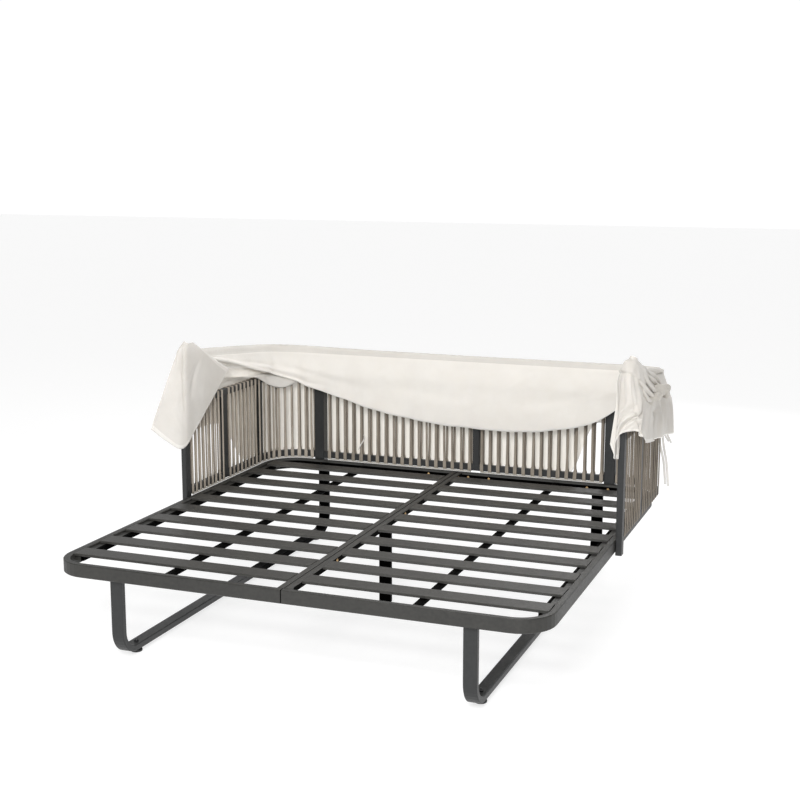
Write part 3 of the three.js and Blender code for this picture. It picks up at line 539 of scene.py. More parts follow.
def ring_faces(rings, section, offset, closed):
    """Faces between rings of a swept section, from the vertex offset on."""
    faces = []
    for i in range(rings if closed else rings - 1):
        for j in range(section):
            a, b = i * section, (i + 1) % rings * section
            k = (j + 1) % section
            faces.append((offset + a + j, offset + a + k, offset + b + k, offset + b + j))
    return faces


print("strap helpers ready")


# %% Woven panels
def woven_panel(name, runs, replaced, braid=strap):
    """Loops over runs of (start, end, gaps) along the rails, and the pale binding at their feet."""
    vertices, faces, kinds = [], [], []
    for start, end, gaps in runs:
        pitch = (end - start - STRAP_WIDTH) / gaps
        for i in range(gaps + 1):
            distance = start + STRAP_WIDTH / 2 + pitch * i
            s = min(distance, back.length - distance)
            slack = BEND_SLACK if back.side < s < back.side + back.arc else 0.0
            loop = strap_loop(distance, slack)
            faces += ring_faces(*loop.shape[:2], sum(len(v) for v in vertices), True)
            vertices.append(loop.reshape(-1, 3))
            kinds += [0] * loop.shape[0] * loop.shape[1]
    place, outward = back.at(np.linspace(runs[0][0], runs[-1][1], BINDING_RINGS))
    section = []
    for inset, z in BINDING_SECTION:
        section.append(np.column_stack([place + inset * outward, np.full(BINDING_RINGS, PLATFORM_TOP + z)]))
    strip_mesh = np.stack(section, 1)
    offset = sum(len(v) for v in vertices)
    sides = len(BINDING_SECTION)
    last_ring = offset + (BINDING_RINGS - 1) * sides
    more = ring_faces(BINDING_RINGS, sides, offset, False)
    more += [tuple(offset + k for k in range(sides)), tuple(last_ring + k for k in reversed(range(sides)))]
    faces += more
    kinds += [1] * len(more)
    vertices.append(strip_mesh.reshape(-1, 3))
    piece = mesh_piece(name, np.concatenate(vertices), faces, [braid, binding], kinds)
    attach(piece, "root")
    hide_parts(replaced)
    return piece


ARM_UPRIGHT_Y = FRONT_Y + 1.368
CORNER_UPRIGHT_Y = FRONT_Y + 1.742
arm_upright = ARM_UPRIGHT_Y - ARM_START_Y
corner_upright = CORNER_UPRIGHT_Y - ARM_START_Y
middle = back.length / 2
side_runs = [
    (0.007, arm_upright - 0.007, 8),
    (arm_upright + 0.049, corner_upright - 0.007, 8),
    (corner_upright + 0.029, middle - 0.757, 8),
]
mirrored_runs = [(back.length - b, back.length - a, n) for a, b, n in reversed(side_runs)]
panels = [
    woven_panel("woven_left", side_runs, "woven_panel_left", lit_strap),
    woven_panel("woven_right", mirrored_runs, "woven_panel_right"),
    woven_panel("woven_back_left", [(middle - 0.677, middle + 0.062, 17)], "woven_panel_back_left"),
    woven_panel("woven_back_right", [(middle + 0.110, middle + 0.693, 14)], "woven_panel_back_right"),
]
print("strap loops:", sum(len(p.data.polygons) for p in panels), "faces")

# %% [markdown]
# ## Cloth
#
# Every cloth is one grid of places. Creases push its places along the surface's normal, and a thin
# solid is made of both sides. A cloth simulation could drape it, but the picture shows one certain
# bunched state, which listed lines reach and a free fall doesn't.

# %% Grids and creases
def grid_normals(grid):
    along = np.gradient(grid, axis=0)
    down = np.gradient(grid, axis=1)
    normal = np.cross(along, down)
    return normal / (np.linalg.norm(normal, axis=-1, keepdims=True) + 1e-12)


def creases(u, v, rows):
    """The height of ridges over a cloth.

    A row: middle u and v, direction, half length, half width, height.
    """
    height = np.zeros_like(u)
    for cu, cv, degrees, half_length, half_width, rise in rows:
        c, s = math.cos(math.radians(degrees)), math.sin(math.radians(degrees))
        along = (u - cu) * c + (v - cv) * s
        across = -(u - cu) * s + (v - cv) * c
        height += rise * np.exp(-((along / half_length) ** 2)) * np.exp(-((across / half_width) ** 2))
    return height


def grid_faces(nu, nv, offset=0):
    i, j = np.meshgrid(np.arange(nu - 1), np.arange(nv - 1), indexing="ij")
    a = (offset + i * nv + j).reshape(-1)
    return np.stack([a, a + nv, a + nv + 1, a + 1], -1)


print("crease helpers ready")


# %% Thin solids
CLOTH_THICK = 0.0010


def cloth_piece(name, grid, materials, kinds=None):
    """A thin closed solid on both sides of a grid of places (axes: along, down, xyz)."""
    nu, nv = grid.shape[:2]
    normal = grid_normals(grid)
    top, bottom = grid + normal * CLOTH_THICK / 2, grid - normal * CLOTH_THICK / 2
    front = grid_faces(nu, nv)
    behind = grid_faces(nu, nv, nu * nv)[:, ::-1]
    rim = [i * nv for i in range(nu)]
    rim += [(nu - 1) * nv + j for j in range(1, nv)]
    rim += [i * nv + nv - 1 for i in range(nu - 2, -1, -1)]
    rim += list(range(nv - 2, 0, -1))
    count = nu * nv
    edges = [(a, a + count, b + count, b) for a, b in zip(rim, rim[1:] + rim[:1])]
    faces = [tuple(f) for f in front] + [tuple(f) for f in behind] + edges
    marks = None
    if kinds is not None:
        flat = kinds.reshape(-1)
        marks = list(flat) + list(flat) + [0] * len(edges)
    vertices = np.concatenate([top.reshape(-1, 3), bottom.reshape(-1, 3)])
    return mesh_piece(name, vertices, faces, materials, marks)


def blank_cells(grid):
    """A material number for each cell of a grid, all 0."""
    return np.zeros((grid.shape[0] - 1, grid.shape[1] - 1), int)


def lift(grid, ripple, inner):
    """Moves a cloth off what it lies on: only away from the place inner."""
    normal = grid_normals(grid)
    away = np.sign(((grid - np.asarray(inner)) * normal).sum(-1).mean())
    return grid + normal * away * (ripple - ripple.min())[..., None]


def cut_size(grid):
    """The flat width, length and area of a grid of cloth."""
    width = np.linalg.norm(np.diff(grid, axis=0), axis=-1).sum(0).max()
    length = np.linalg.norm(np.diff(grid, axis=1), axis=-1).sum(1).max()
    a, b, c, d = grid[:-1, :-1], grid[1:, :-1], grid[1:, 1:], grid[:-1, 1:]
    halves = np.cross(b - a, c - a), np.cross(c - a, d - a)
    area = sum(np.linalg.norm(half, axis=-1) for half in halves).sum() / 2
    return (float(width), float(length)), float(area)


def declare(piece, grid):
    flat, area = cut_size(grid)
    print(f"{piece.name}: {flat[0]:.2f} x {flat[1]:.2f} m, {area:.2f} m2")


def random_creases(count, width, height, degrees, spread, rise):
    """Small creases anywhere on a cloth of a width and height, most of them near one direction."""
    rows = []
    for _ in range(count):
        rows.append((rng.uniform(0, width), rng.uniform(0, height), rng.normal(degrees, spread),
                     rng.uniform(0.05, 0.16), rng.uniform(0.006, 0.018), rng.normal(0, rise)))
    return rows


print("cloth helpers ready")

# %% [markdown]
# ## The swag
#
# A loose tunnel over the bow, stitched below it, from which the cloth hangs inside the backrest. It is
# one grid along the bow: first round the tube, then down. How far it hangs, and how loose the tunnel
# is, comes from short tables read off the picture, because a sine or an arc would look drawn.

# %% Swag outline
SWAG_DROP = 0.322
swag_drop_shares = [
    (0, 0.1), (0.055, 0.1), (0.092, 0.15), (0.146, 0.27), (0.238, 0.43), (0.301, 0.59), (0.361, 0.767),
    (0.418, 0.89), (0.475, 0.96), (0.544, 0.995), (0.612, 0.975), (0.658, 0.885), (0.686, 0.81),
    (0.704, 0.714), (0.723, 0.56), (0.749, 0.34), (0.81, 0.18), (0.86, 0.1), (1, 0.1),
]
sleeve_slack_shares = [
    (0, 0.006), (0.03, 0.012), (0.12, 0.012), (0.25, 0.009), (0.37, 0.003), (0.5, 0.0015), (1, 0.0015),
]
SLEEVE_ROWS = 16
SKIRT_ROWS = 30
SLEEVE_RADIUS = HALF_TUBE + 0.0022
STITCH_DEPTH = 0.010
swag_from = BOW_OVERRUN + 0.08
s = np.linspace(swag_from, bow.length - swag_from, 300)
middle_line, bow_outward = bow_place(s)
share = (s - s[0]) / (s[-1] - s[0])
drop = SWAG_DROP * smooth_shares(swag_drop_shares, share)
slack = smooth_shares(sleeve_slack_shares, share)
slack = slack + 0.0006 * np.sin(2 * np.pi * s / 0.037) * np.sin(2 * np.pi * s / 0.31)
stitch = np.minimum(STITCH_DEPTH, drop - 0.004)
print("swag hangs", round(float(drop.max()), 3), "m at the most")

# %% Swag surface
angle = np.radians(np.linspace(-80, 180, SLEEVE_ROWS - 3))
sleeve_out = [np.full_like(s, SLEEVE_RADIUS * math.cos(a)) for a in angle]
sleeve_up = [(SLEEVE_RADIUS + slack * (a > 0)) * math.sin(a) for a in angle]
for k in (1, 2, 3):
    sleeve_out.append(-SLEEVE_RADIUS - 0.0012 * k + 0 * s)
    sleeve_up.append(-stitch * k / 3)
skirt_out, skirt_up = [], []
wave = waves(s, (0.005, 0.33, 0), (0.0035, 0.147, 1.3))
for k in range(1, SKIRT_ROWS + 1):
    depth = stitch + (drop - stitch) * k / SKIRT_ROWS
    lean = ease(depth / 0.12)
    belly = 0.018 * ease((depth - 0.12) / 0.16)
    billow = 0.004 * np.sin(np.pi * np.clip(depth / 0.33, 0, 1))
    skirt_out.append(-SLEEVE_RADIUS - 0.0046 - 0.026 * lean - belly - billow - wave * lean)
    skirt_up.append(-depth)
out = np.stack(sleeve_out + skirt_out, 1)
up = np.stack(sleeve_up + skirt_up, 1)
swag = np.zeros((len(s), out.shape[1], 3))
swag[..., :2] = middle_line[:, None, :2] + out[..., None] * bow_outward[:, None, :]
swag[..., 2] = middle_line[:, None, 2] + up
print("swag grid:", swag.shape[:2])

# %% Swag creases and hem
u = np.broadcast_to(s[:, None], out.shape)
v = -up
hand_creases = [
    (0.62, 0.055, 6, 0.32, 0.010, 0.0045), (0.74, 0.085, 7, 0.26, 0.009, -0.004),
    (0.86, 0.12, 9, 0.20, 0.011, 0.005), (1.02, 0.10, 12, 0.22, 0.016, 0.0035),
    (1.25, 0.12, 9, 0.30, 0.020, -0.003), (1.55, 0.16, 6, 0.35, 0.024, 0.0035),
    (1.95, 0.21, 3, 0.40, 0.030, -0.003), (2.25, 0.17, -8, 0.30, 0.024, 0.003),
    (2.45, 0.14, -16, 0.22, 0.018, -0.003),
]
ripple = creases(u, v, hand_creases + random_creases(46, 3.6, 0.3, 0, 22, 0.0012))
on_skirt = np.arange(out.shape[1]) >= SLEEVE_ROWS
hang = ease((v - 0.03) / 0.04) * on_skirt
pucker = 0.0008 * np.sin(2 * np.pi * s[:, None] / 0.021) * np.exp(-(((v - stitch[:, None]) / 0.008) ** 2))
hem = 0.0009 * ease((v - (drop[:, None] - 0.016)) / 0.002) * on_skirt
EDGE_ROLL = 0.017
into_edge = np.clip((v - (drop[:, None] - EDGE_ROLL)) / EDGE_ROLL, 0, 1)
turned_edge = 0.004 * (np.sin(np.pi * into_edge) * ease((1.15 - s[:, None]) / 0.2)) * on_skirt
swag -= grid_normals(swag) * turned_edge[..., None]
swag += grid_normals(swag) * (ripple * hang + pucker + hem)[..., None]
cells = blank_cells(swag)
cells[:, :SLEEVE_ROWS - 1] = 1
cells[:, -1:] = 2
swag_piece = cloth_piece("swag_cloth", swag, [canvas, band_canvas, hem_canvas], cells)
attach(swag_piece, "canopy")
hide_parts("canopy_swag")
declare(swag_piece, swag)

# %% [markdown]
# ## The outer cloth
#
# From under the bow over the top rail and down the outside of the weave. In the left corner it bulges
# in over the rail before it goes out. Two profiles, a plain one and a tucked one, are blended along
# the backrest, which keeps the whole cloth one sheet. It stretches between the frame and the bow.

# %% Outer cloth profile
SHOULDER_Z = PLATFORM_TOP + 0.438
OUTER_DROP = 0.423
SHOULDER_OUT = 0.047
UPPER_ROWS = 26
LOWER_ROWS = 30
outer_hem_shares = [
    (0, 0.4), (0.09, 0.43), (0.125, 0.6), (0.155, 0.97), (0.2, 1), (0.7, 1), (0.706, 0.9), (0.712, 0.4),
    (0.81, 0.41), (0.888, 0.32), (1, 0.22),
]
sag_shares = [
    (0, 0), (0.16, 0), (0.18, 0.3), (0.205, 0.7), (0.23, 1), (0.25, 1), (0.28, 0.4), (0.3, 0), (1, 0),
]
outer_from = POST_Y + 0.095 - ARM_START_Y
outer_to = back.length - (POST_Y + 0.264 - ARM_START_Y)
s = np.linspace(outer_from, outer_to, 300)
place, outward = back.at(s)
bow_z = PIVOT_Z - (place[:, 1] - POST_Y) * math.tan(BOW_FOLD)
share = (s - s[0]) / (s[-1] - s[0])
drop = OUTER_DROP * smooth_shares(outer_hem_shares, share)
bulge = ease((s - 0.42) / 0.13) * ease((1.14 - s) / 0.14)
sag = smooth_shares(sag_shares, share)
plain = [
    (0.0180, bow_z), (0.0255, bow_z * 0.7 + SHOULDER_Z * 0.3), (0.0335, bow_z * 0.4 + SHOULDER_Z * 0.6),
    (0.041, bow_z * 0.15 + SHOULDER_Z * 0.85), (SHOULDER_OUT, SHOULDER_Z),
]
tucked = [
    (0.0180, bow_z), (-0.004, bow_z - 0.045), (-0.0235, SHOULDER_Z + 0.012 - 0.096 * sag),
    (-0.020, SHOULDER_Z + 0.008 - 0.014 * sag), (0.040, SHOULDER_Z + 0.004),
]
points = []
for (out_a, z_a), (out_b, z_b) in zip(plain, tucked):
    points.append(np.stack([out_a + (out_b - out_a) * bulge, z_a + (z_b - z_a) * bulge + 0 * s], -1))
upper = curve_through(np.stack(points, 1), UPPER_ROWS)
lower = []
wave = waves(s, (0.006, 0.215, 0), (0.003, 0.09, 0.7))
flare = 0.014 * ease((s - 2.6) / 0.15)
for k in range(1, LOWER_ROWS + 1):
    share_down = k / LOWER_ROWS
    lower.append(np.stack([SHOULDER_OUT + (wave + flare) * share_down, SHOULDER_Z - drop * share_down], -1))
profile = np.concatenate([upper, np.stack(lower, 1)], 1)
outer = np.zeros((len(s), profile.shape[1], 3))
outer[..., :2] = place[:, None] + profile[..., :1] * outward[:, None, :]
outer[..., 2] = profile[..., 1]
print("outer cloth grid:", outer.shape[:2])

# %% Outer cloth folds
u = np.broadcast_to(s[:, None], profile.shape[:2])
v = SHOULDER_Z - profile[..., 1] + 0.15
left_folds = [
    (0.50, 0.055, 4, 0.22, 0.006, 0.008), (0.55, 0.080, 7, 0.22, 0.005, -0.008),
    (0.58, 0.105, 9, 0.22, 0.006, 0.009), (0.50, 0.130, 2, 0.20, 0.005, -0.008),
    (0.46, 0.160, -3, 0.18, 0.006, 0.007), (0.75, 0.12, 12, 0.12, 0.007, 0.007),
    (0.80, 0.15, 4, 0.10, 0.006, -0.006), (0.86, 0.19, -6, 0.12, 0.006, 0.005),
]
right_folds = [
    (3.19, 0.125, 157, 0.065, 0.010, -0.017), (3.20, 0.185, 27, 0.08, 0.013, -0.018),
    (3.08, 0.19, 70, 0.07, 0.022, 0.016), (2.99, 0.17, 60, 0.07, 0.014, -0.016),
    (2.94, 0.20, 80, 0.09, 0.018, 0.014), (2.88, 0.20, 86, 0.11, 0.014, -0.014),
    (2.81, 0.20, 88, 0.12, 0.018, 0.012), (2.75, 0.20, 92, 0.12, 0.014, -0.011),
    (2.66, 0.21, 86, 0.13, 0.020, 0.010),
]
ripple = creases(u, v, left_folds + right_folds + random_creases(60, 3.4, 0.5, 80, 25, 0.0016))
outer += grid_normals(outer) * (ripple * ease(np.arange(profile.shape[1]) / 8)[None, :])[..., None]
cells = blank_cells(outer)
# the right end takes the darker copy of the canvas: painted shade
cells[s[1:] > back.length / 2 + 0.75] = 2
cells[:, -1:] = 1
outer_piece = cloth_piece("outer_cloth", outer, [glowing_canvas, hem_canvas, shaded_canvas], cells)
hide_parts("canopy_outer_cloth")
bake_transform(outer_piece)
declare(outer_piece, outer)

# %% [markdown]
# ## Cloth over the posts
#
# Two sheets through given lines: the flap over the left post and the heap over the right one. Each
# row below is one line down the cloth, with its points in shares of the cloth's length from the post's
# top. A smooth surface through so few points is easy to change when it doesn't match the picture.

# %% Lines down the cloths
FLAP_LENGTH = 0.46
FALL_LENGTH = 0.33
flap_shares = [
    [[0.0, 0.025, 0.172], [0.028, -0.05, 0.093], [0.048, -0.117, -0.02], [0.221, -0.257, -0.622]],
    [[-0.012, 0.015, 0.180], [0.008, -0.075, 0.08], [0.0255, -0.11, -0.19], [0.109, -0.168, -0.746]],
    [[-0.024, 0.015, 0.177], [-0.025, -0.06, 0.074], [-0.02, -0.07, -0.37], [-0.011, -0.07, -0.826]],
    [[-0.05, 0.01, 0.17], [-0.068, -0.03, 0.03], [-0.066, 0, -0.33], [-0.056, 0.12, -0.65]],
    [[-0.046, 0.1, 0.168], [-0.056, 0.33, 0.04], [-0.057, 0.56, -0.08], [-0.055, 0.787, -0.18]],
]
fall_shares = [
    [[0.06, 0.16, 0.25], [-0.032, -0.02, 0.14], [-0.06, -0.06, -0.14], [-0.12, -0.085, -0.65]],
    [[0.075, 0.05, 0.345], [-0.01, -0.068, 0.15], [-0.03, -0.068, -0.14], [-0.05, -0.1, -0.82]],
    [[0.09, 0.02, 0.37], [0.03, -0.075, 0.16], [0.02, -0.07, -0.14], [0.0, -0.112, -0.53]],
    [[0.105, 0.04, 0.355], [0.08, -0.085, 0.15], [0.12, -0.09, -0.14], [0.215, -0.105, -0.48]],
    [[0.10, 0.12, 0.31], [0.12, 0.0, 0.11], [0.165, 0.0, -0.13], [0.235, -0.03, -0.62]],
    [[0.12, 0.28, 0.24], [0.14, 0.42, 0.06], [0.165, 0.68, -0.16], [0.165, 0.86, -0.79]],
]
print("lines over the left and right post:", len(flap_shares), len(fall_shares))


# %% From lines to a surface
def sharpened(net, column, share):
    """Adds a line of points close to each side of a column, so that the cloth turns sharply there."""
    before = net[column] + (net[column - 1] - net[column]) * share
    after = net[column] + (net[column + 1] - net[column]) * share
    return np.concatenate([net[:column], [before], [net[column]], [after], net[column + 1:]])


def drape(shares, sign, length, across, down, sharp=()):
    """A fine grid through the lines, over the right (sign 1) or the left post (-1)."""
    net = np.array(shares, float) * length
    for column in sorted(sharp, reverse=True):
        net = sharpened(net, column, 0.1)
    net[..., 0] = sign * (BACK_HALF + net[..., 0])
    net[..., 1] += POST_Y
    net[..., 2] += POST_TOP
    rows = curve_through(net, down)
    return curve_through(np.swapaxes(rows, 0, 1), across).swapaxes(0, 1)


def distances(grid):
    """How far each place of a grid lies along and down the cloth."""
    u = np.linalg.norm(np.diff(grid, axis=0, prepend=grid[:1]), axis=-1).cumsum(0)
    v = np.linalg.norm(np.diff(grid, axis=1, prepend=grid[:, :1]), axis=-1).cumsum(1)
    return u, v


print("surface helpers ready")

# %% Flap over the left post
flap = drape(flap_shares, -1, FLAP_LENGTH, 110, 80)
u, v = distances(flap)
flap_rows = [
    (0.20, 0.16, 72, 0.09, 0.022, -0.004), (0.12, 0.2, 92, 0.16, 0.04, 0.004),
    (0.27, 0.25, 64, 0.11, 0.025, 0.003),
]
ripple = creases(u, v, flap_rows + random_creases(14, 0.35, 0.45, 85, 40, 0.0008))
flap = lift(flap, ripple * ease((v - 0.02) / 0.1), (-BACK_HALF, POST_Y, 0.8))
cells = blank_cells(flap)
cells[:, -2:] = 1
cells[-2:, :] = 1
flap_piece = cloth_piece("flap_left", flap, [shaded_canvas, shaded_hem], cells)
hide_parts("canopy_flap_left")
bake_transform(flap_piece)
declare(flap_piece, flap)

# %% Heap over the right post
fall = drape(fall_shares, 1, FALL_LENGTH, 170, 120, sharp=[1])
u, v = distances(fall)
fall_rows = [
    (0.05, 0.155, 88, 0.10, 0.010, 0.007), (0.075, 0.17, 84, 0.11, 0.010, -0.006),
    (0.10, 0.19, 82, 0.12, 0.011, 0.008), (0.125, 0.20, 80, 0.12, 0.009, -0.007),
    (0.15, 0.24, 78, 0.10, 0.012, 0.008), (0.20, 0.25, 70, 0.10, 0.012, -0.006),
    (0.27, 0.24, 74, 0.12, 0.016, 0.008), (0.36, 0.24, 80, 0.12, 0.014, -0.006),
    (0.45, 0.24, 84, 0.12, 0.018, 0.007),
]
ripple = creases(u, v, fall_rows + random_creases(26, 0.4, 0.4, 80, 25, 0.0020))
hood_edge = 0.25 * np.clip(u - 0.05, 0, 0.1)
hood = 0.009 * (1 - ease((v - 0.064 - hood_edge) / 0.006)) * ease(v / 0.03)
ripple = np.clip(ripple, -0.012, 0.016) + hood
fall = lift(fall, ripple * ease(v / 0.03), (BACK_HALF, POST_Y, 0.8))
cells = blank_cells(fall)
cells[:, -3:] = 1
cells[:2, :] = 1
fall_piece = cloth_piece("fall_right", fall, [shaded_canvas, shaded_hem], cells)
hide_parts("canopy_fall_right")
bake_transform(fall_piece)
print("heap grid:", fall.shape[:2])

# %% [markdown]
# ## Roll, ties and hanging ends
#
# The outer end of the right cloth is twisted into a roll along the arm, and smaller gathers run into
# it. A knot of one long sheet would be truer and much harder to fold by hand. So each is swept along a
# smooth spine with a folded outline that twists on the way. Narrow ties hang from it, one in the weave.

# %% A twisted roll
ROLL_RINGS = 70
ROLL_SIDES = 36


def roll(name, spine, radii, twist, lumps, body="root", material=shaded_canvas):
    """A twisted roll of cloth: rings of a folded outline along a smooth spine."""
    line = curve_through(spine, ROLL_RINGS)
    size = np.interp(np.linspace(0, 1, ROLL_RINGS), np.linspace(0, 1, len(radii)), radii)
    forward = np.gradient(line, axis=0)
    forward /= np.linalg.norm(forward, axis=1, keepdims=True)
    side = np.cross(forward, (0, 0, 1))
    side /= np.linalg.norm(side, axis=1, keepdims=True)
    rise = np.cross(side, forward)
    turn = np.linspace(0, 2 * np.pi, ROLL_SIDES, endpoint=False)
    rings = []
    for k in range(ROLL_RINGS):
        t = k / (ROLL_RINGS - 1)
        folded = 1 + lumps * np.cos(3 * (turn + twist * t))
        folded = folded + lumps * 0.6 * np.cos(7 * (turn + 1.3 * twist * t) + 1)
        folded += lumps * 0.5 * np.sin(40 * t + 2 * turn) * np.sin(17 * t + turn)
        folded -= lumps * 0.4 * np.abs(np.sin(6 * (turn + 0.8 * twist * t)))
        r = (size[k] * folded)[:, None]
        aside = np.cos(turn)[:, None] * r * side[k] * 0.8
        rings.append(line[k] + aside + np.sin(turn)[:, None] * r * rise[k])
    rings = np.array(rings)
    last_ring = (ROLL_RINGS - 1) * ROLL_SIDES
    faces = ring_faces(ROLL_RINGS, ROLL_SIDES, 0, False)
    faces += [tuple(range(ROLL_SIDES - 1, -1, -1)), tuple(last_ring + k for k in range(ROLL_SIDES))]
    piece = mesh_piece(name, rings.reshape(-1, 3), faces, [material])
    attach(piece, body)
    return piece


print("roll helper ready")

# %% Roll and gathers
roll_spine = [
    (1.012, 0.17, 0.885), (1.032, 0.22, 0.898), (1.041, 0.31, 0.910), (1.041, 0.44, 0.899),
    (1.033, 0.56, 0.875), (0.992, 0.68, 0.850),
]
roll_radii = [0.010, 0.022, 0.028, 0.024, 0.025, 0.006]
roll_piece = roll("cloth_roll", roll_spine, roll_radii, 7.0, 0.22, "root", shaded_knot_canvas)
gather_lines = [
    [(0.992, 0.085, 1.068), (1.012, 0.10, 1.030), (1.030, 0.15, 0.985), (1.040, 0.22, 0.945),
     (1.043, 0.28, 0.915)],
    [(0.990, 0.045, 1.035), (1.012, 0.060, 1.005), (1.031, 0.11, 0.965), (1.042, 0.19, 0.925),
     (1.043, 0.25, 0.905)],
    [(0.982, 0.060, 1.018), (1.006, 0.090, 0.988), (1.024, 0.110, 0.953), (1.036, 0.160, 0.910),
     (1.040, 0.21, 0.895)],
    [(0.998, 0.130, 1.050), (1.004, 0.230, 1.020), (1.006, 0.33, 0.985), (1.012, 0.440, 0.955),
     (1.024, 0.50, 0.915)],
    [(1.000, 0.150, 1.035), (1.010, 0.230, 0.998), (1.020, 0.30, 0.968), (1.030, 0.36, 0.940),
     (1.036, 0.42, 0.912)],
]
gathers = [
    roll(f"cloth_gather_{k + 1}", line, [0.003, 0.0075, 0.009, 0.0085, 0.005], 2.0 + k, 0.12)
    for k, line in enumerate(gather_lines)
]
bunch_spine = [(0.982, 0.26, 1.002), (0.984, 0.45, 0.976), (0.984, 0.63, 0.952), (0.978, 0.80, 0.922)]
sleeve_bunch = roll("sleeve_bunch", bunch_spine, [0.004, 0.012, 0.013, 0.006], 3.0, 0.14, "canopy")
print("roll, bunch and", len(gathers), "gathers")


# %% Ties
def tie(name, points, width, across):
    """A narrow cloth tie along a smooth line."""
    steps = 40
    line = curve_through(points, steps)
    forward = np.gradient(line, axis=0)
    wide = np.cross(forward, across)
    wide /= np.linalg.norm(wide, axis=1, keepdims=True)
    turn = np.linspace(0, 0.8, steps)[:, None]
    wide = wide * np.cos(turn) + np.asarray(across) * np.sin(turn)
    grid = np.stack([line - wide * width / 2, line, line + wide * width / 2], 1)
    piece = cloth_piece(name, grid, [shaded_hem])
    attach(piece, "root")
    return piece


TIE_Y = 0.9645
TIE_TURN = (0.3, 1.0, 0.0)
tie_rows = [
    ("tie_long_a", 0.010, TIE_TURN,
     [(0.941, TIE_Y, 0.630), (0.948, TIE_Y, 0.560), (0.966, TIE_Y, 0.480), (0.976, TIE_Y, 0.380)]),
    ("tie_long_b", 0.010, TIE_TURN,
     [(0.955, TIE_Y, 0.630), (0.963, TIE_Y, 0.560), (0.979, TIE_Y, 0.480), (0.990, TIE_Y, 0.372)]),
    ("tie_short_a", 0.008, TIE_TURN, [(0.950, TIE_Y, 0.636), (0.965, TIE_Y, 0.610), (0.985, TIE_Y, 0.578)]),
    ("tie_short_b", 0.008, TIE_TURN, [(0.960, TIE_Y, 0.640), (0.976, TIE_Y, 0.614), (0.997, TIE_Y, 0.572)]),
    ("tie_inside", 0.006, (0.0, 1.0, 0.0),
     [(-0.482, 0.928, 0.507), (-0.476, 0.924, 0.49), (-0.497, 0.925, 0.455), (-0.509, 0.925, 0.43)]),
]
ties = [tie(name, points, width, across) for name, width, across, points in tie_rows]
declare(fall_piece, fall)
print("ties:", len(ties))

# %% [markdown]
# ## Small fixings
#
# Domed bolts along the rear rail and at the seam, and a nut above each foot. A cylinder would do at this
# size, but turned profiles catch a small highlight as the real ones do.

# %% Turned pieces
def turned(name, profile, place, axis, material, sides=20):
    """A turned piece: rings of a profile of (radius, height) about an axis through a place."""
    turn = np.linspace(0, 2 * np.pi, sides, endpoint=False)
    rings = [np.column_stack([r * np.cos(turn), r * np.sin(turn), np.full(sides, h)]) for r, h in profile]
    faces = ring_faces(len(profile), sides, 0, False)
    faces += [tuple(range(sides - 1, -1, -1)), tuple((len(profile) - 1) * sides + k for k in range(sides))]
    rotation = Vector((0, 0, 1)).rotation_difference(Vector(axis)).to_matrix()
    points = [rotation @ Vector(p) + Vector(place) for p in np.concatenate(rings)]
    piece = mesh_piece(name, points, faces, [material])
    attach(piece, "root")
    return piece


print("turning helper ready")

# %% Bolts and nuts
SLAT_WIDTH = 0.082
FIRST_SLAT = 0.120
SLAT_RUN = 1.610
LEG_X = 0.682
FOOT_PLACES = (0.150, 1.775)
dome = [(0.0068, 0), (0.0068, 0.0012), (0.006, 0.0026), (0.0038, 0.0037), (0.001, 0.0041)]
nut = [(0.009, 0), (0.009, 0.0055), (0.0078, 0.0066), (0.0055, 0.0066), (0.0052, 0.010), (0.001, 0.0106)]
bolt_y = FRONT_Y + PLATFORM_DEPTH - 0.025
for number, x in enumerate((-0.705, -0.142, -0.040, 0.057, 0.159, 0.629, 0.726)):
    turned(f"rear_bolt_{number + 1}", dome, (x, bolt_y, PLATFORM_TOP - 0.021), (0, -1, 0), bronze)
for number, gap in enumerate((2, 6, 10)):
    y = FRONT_Y + FIRST_SLAT + SLAT_WIDTH / 2 + SLAT_RUN * (gap - 0.5) / 9
    turned(f"seam_bolt_{number + 1}", dome, (0.026, min(y, 0.86), PLATFORM_TOP - 0.0125), (1, 0, 0), bronze)
for number, (y, x) in enumerate((y, x) for y in FOOT_PLACES for x in (-LEG_X, LEG_X)):
    turned(f"foot_nut_{number + 1}", nut, (x, FRONT_Y + y, 0.040), (0, 0, 1), steel, 6)
print("fixings added")

# %% [markdown]
# ## Studio
#
# A plain pale floor, a bright soft sky and three broad lamps. A white room could be built round the
# object, but a sky that is bright near the horizon gives the same white behind it and lights it softly
# from all sides. The floor glows a little, because in the picture it is as white as the background.

# %% Floor
floor_graph = Graph("studio_floor")
floor_tone = floor_graph.noise(0.6, 2.0)
floor_material = floor_graph.finish(
    base_color=floor_graph.colour(floor_tone, (0.32, 0.32, 0.32), (0.345, 0.345, 0.345)),
    roughness=(0.75 + floor_tone * 0.05).clamp(),
    emission_color=(1, 1, 1, 1),
    emission_strength=0.735,
)
FLOOR_HALF = 30
floor_corners = [(FLOOR_HALF * x, FLOOR_HALF * y, 0) for x, y in ((-1, -1), (1, -1), (1, 1), (-1, 1))]
floor = mesh_piece("floor", floor_corners, [(0, 1, 2, 3)], [floor_material])
print("floor", 2 * FLOOR_HALF, "m wide")

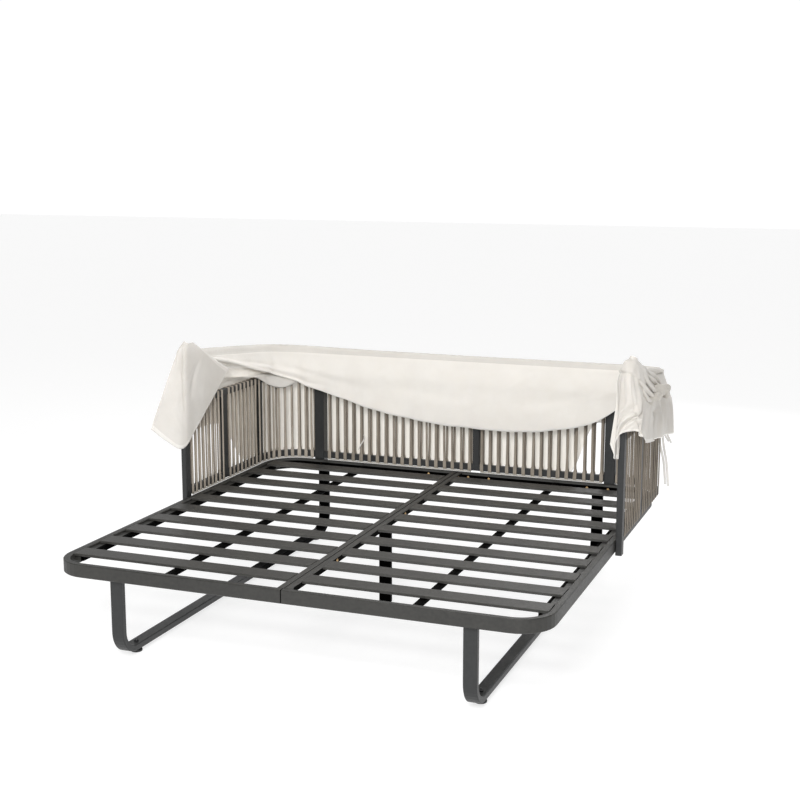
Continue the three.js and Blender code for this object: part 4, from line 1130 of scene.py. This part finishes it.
# %% Sky
world = bpy.data.worlds.new("studio")
bpy.context.scene.world = world
world.use_nodes = True
sky = world.node_tree.nodes["Background"]
height = world.node_tree.nodes.new("ShaderNodeSeparateXYZ")
fade = world.node_tree.nodes.new("ShaderNodeMapRange")
direction = world.node_tree.nodes.new("ShaderNodeTexCoord")
world.node_tree.links.new(direction.outputs["Generated"], height.inputs[0])
world.node_tree.links.new(height.outputs["Z"], fade.inputs["Value"])
world.node_tree.links.new(fade.outputs["Result"], sky.inputs["Strength"])
for key, value in {"From Min": 0.25, "From Max": 0.6, "To Min": 1.03, "To Max": 0.35}.items():
    fade.inputs[key].default_value = value
sky.inputs["Color"].default_value = (1, 1, 1, 1)
print("sky fades from 1.03 near the horizon to 0.35 overhead")


# %% Lamps
def lamp(name, place, target, size, power):
    light = bpy.data.lights.new(name, "AREA")
    light.size = size
    light.energy = power
    obj = bpy.data.objects.new(name, light)
    obj.location = place
    obj.rotation_euler = (Vector(target) - Vector(place)).to_track_quat("-Z", "Y").to_euler()
    bpy.context.scene.collection.objects.link(obj)


lamp("key", (1.0, -4.8, 3.3), (0, 0.5, 0.6), 1.6, 262)
lamp("top", (-0.5, 0.0, 5.0), (0, 0.2, 0.4), 3.0, 40)
lamp("back", (0.6, 4.2, 2.2), (0, 0.9, 0.6), 2.5, 52)
print("lamps:", len(bpy.data.lights))

# %% [markdown]
# ## Camera
#
# The photo's own view. Its focal length, place and tilt could be tried by eye; they were solved from
# the picture instead, from edges that are square to each other on the real frame.

# %% Camera
CAMERA_PLACE = (2.010, -5.0557, 1.8536)
CAMERA_DOWN = 0.1794838
CAMERA_TURN = 0.3674262
camera_data = bpy.data.cameras.new("camera")
camera_data.lens = 61.335
camera_data.sensor_width = 36.0
camera = bpy.data.objects.new("camera", camera_data)
camera.location = CAMERA_PLACE
camera.rotation_euler = (math.pi / 2 - CAMERA_DOWN, 0.0, CAMERA_TURN)
bpy.context.scene.collection.objects.link(camera)
bpy.context.scene.camera = camera
bpy.context.scene.view_settings.view_transform = "Standard"
bpy.context.scene.render.resolution_x = 800
bpy.context.scene.render.resolution_y = 800

print("studio ready")
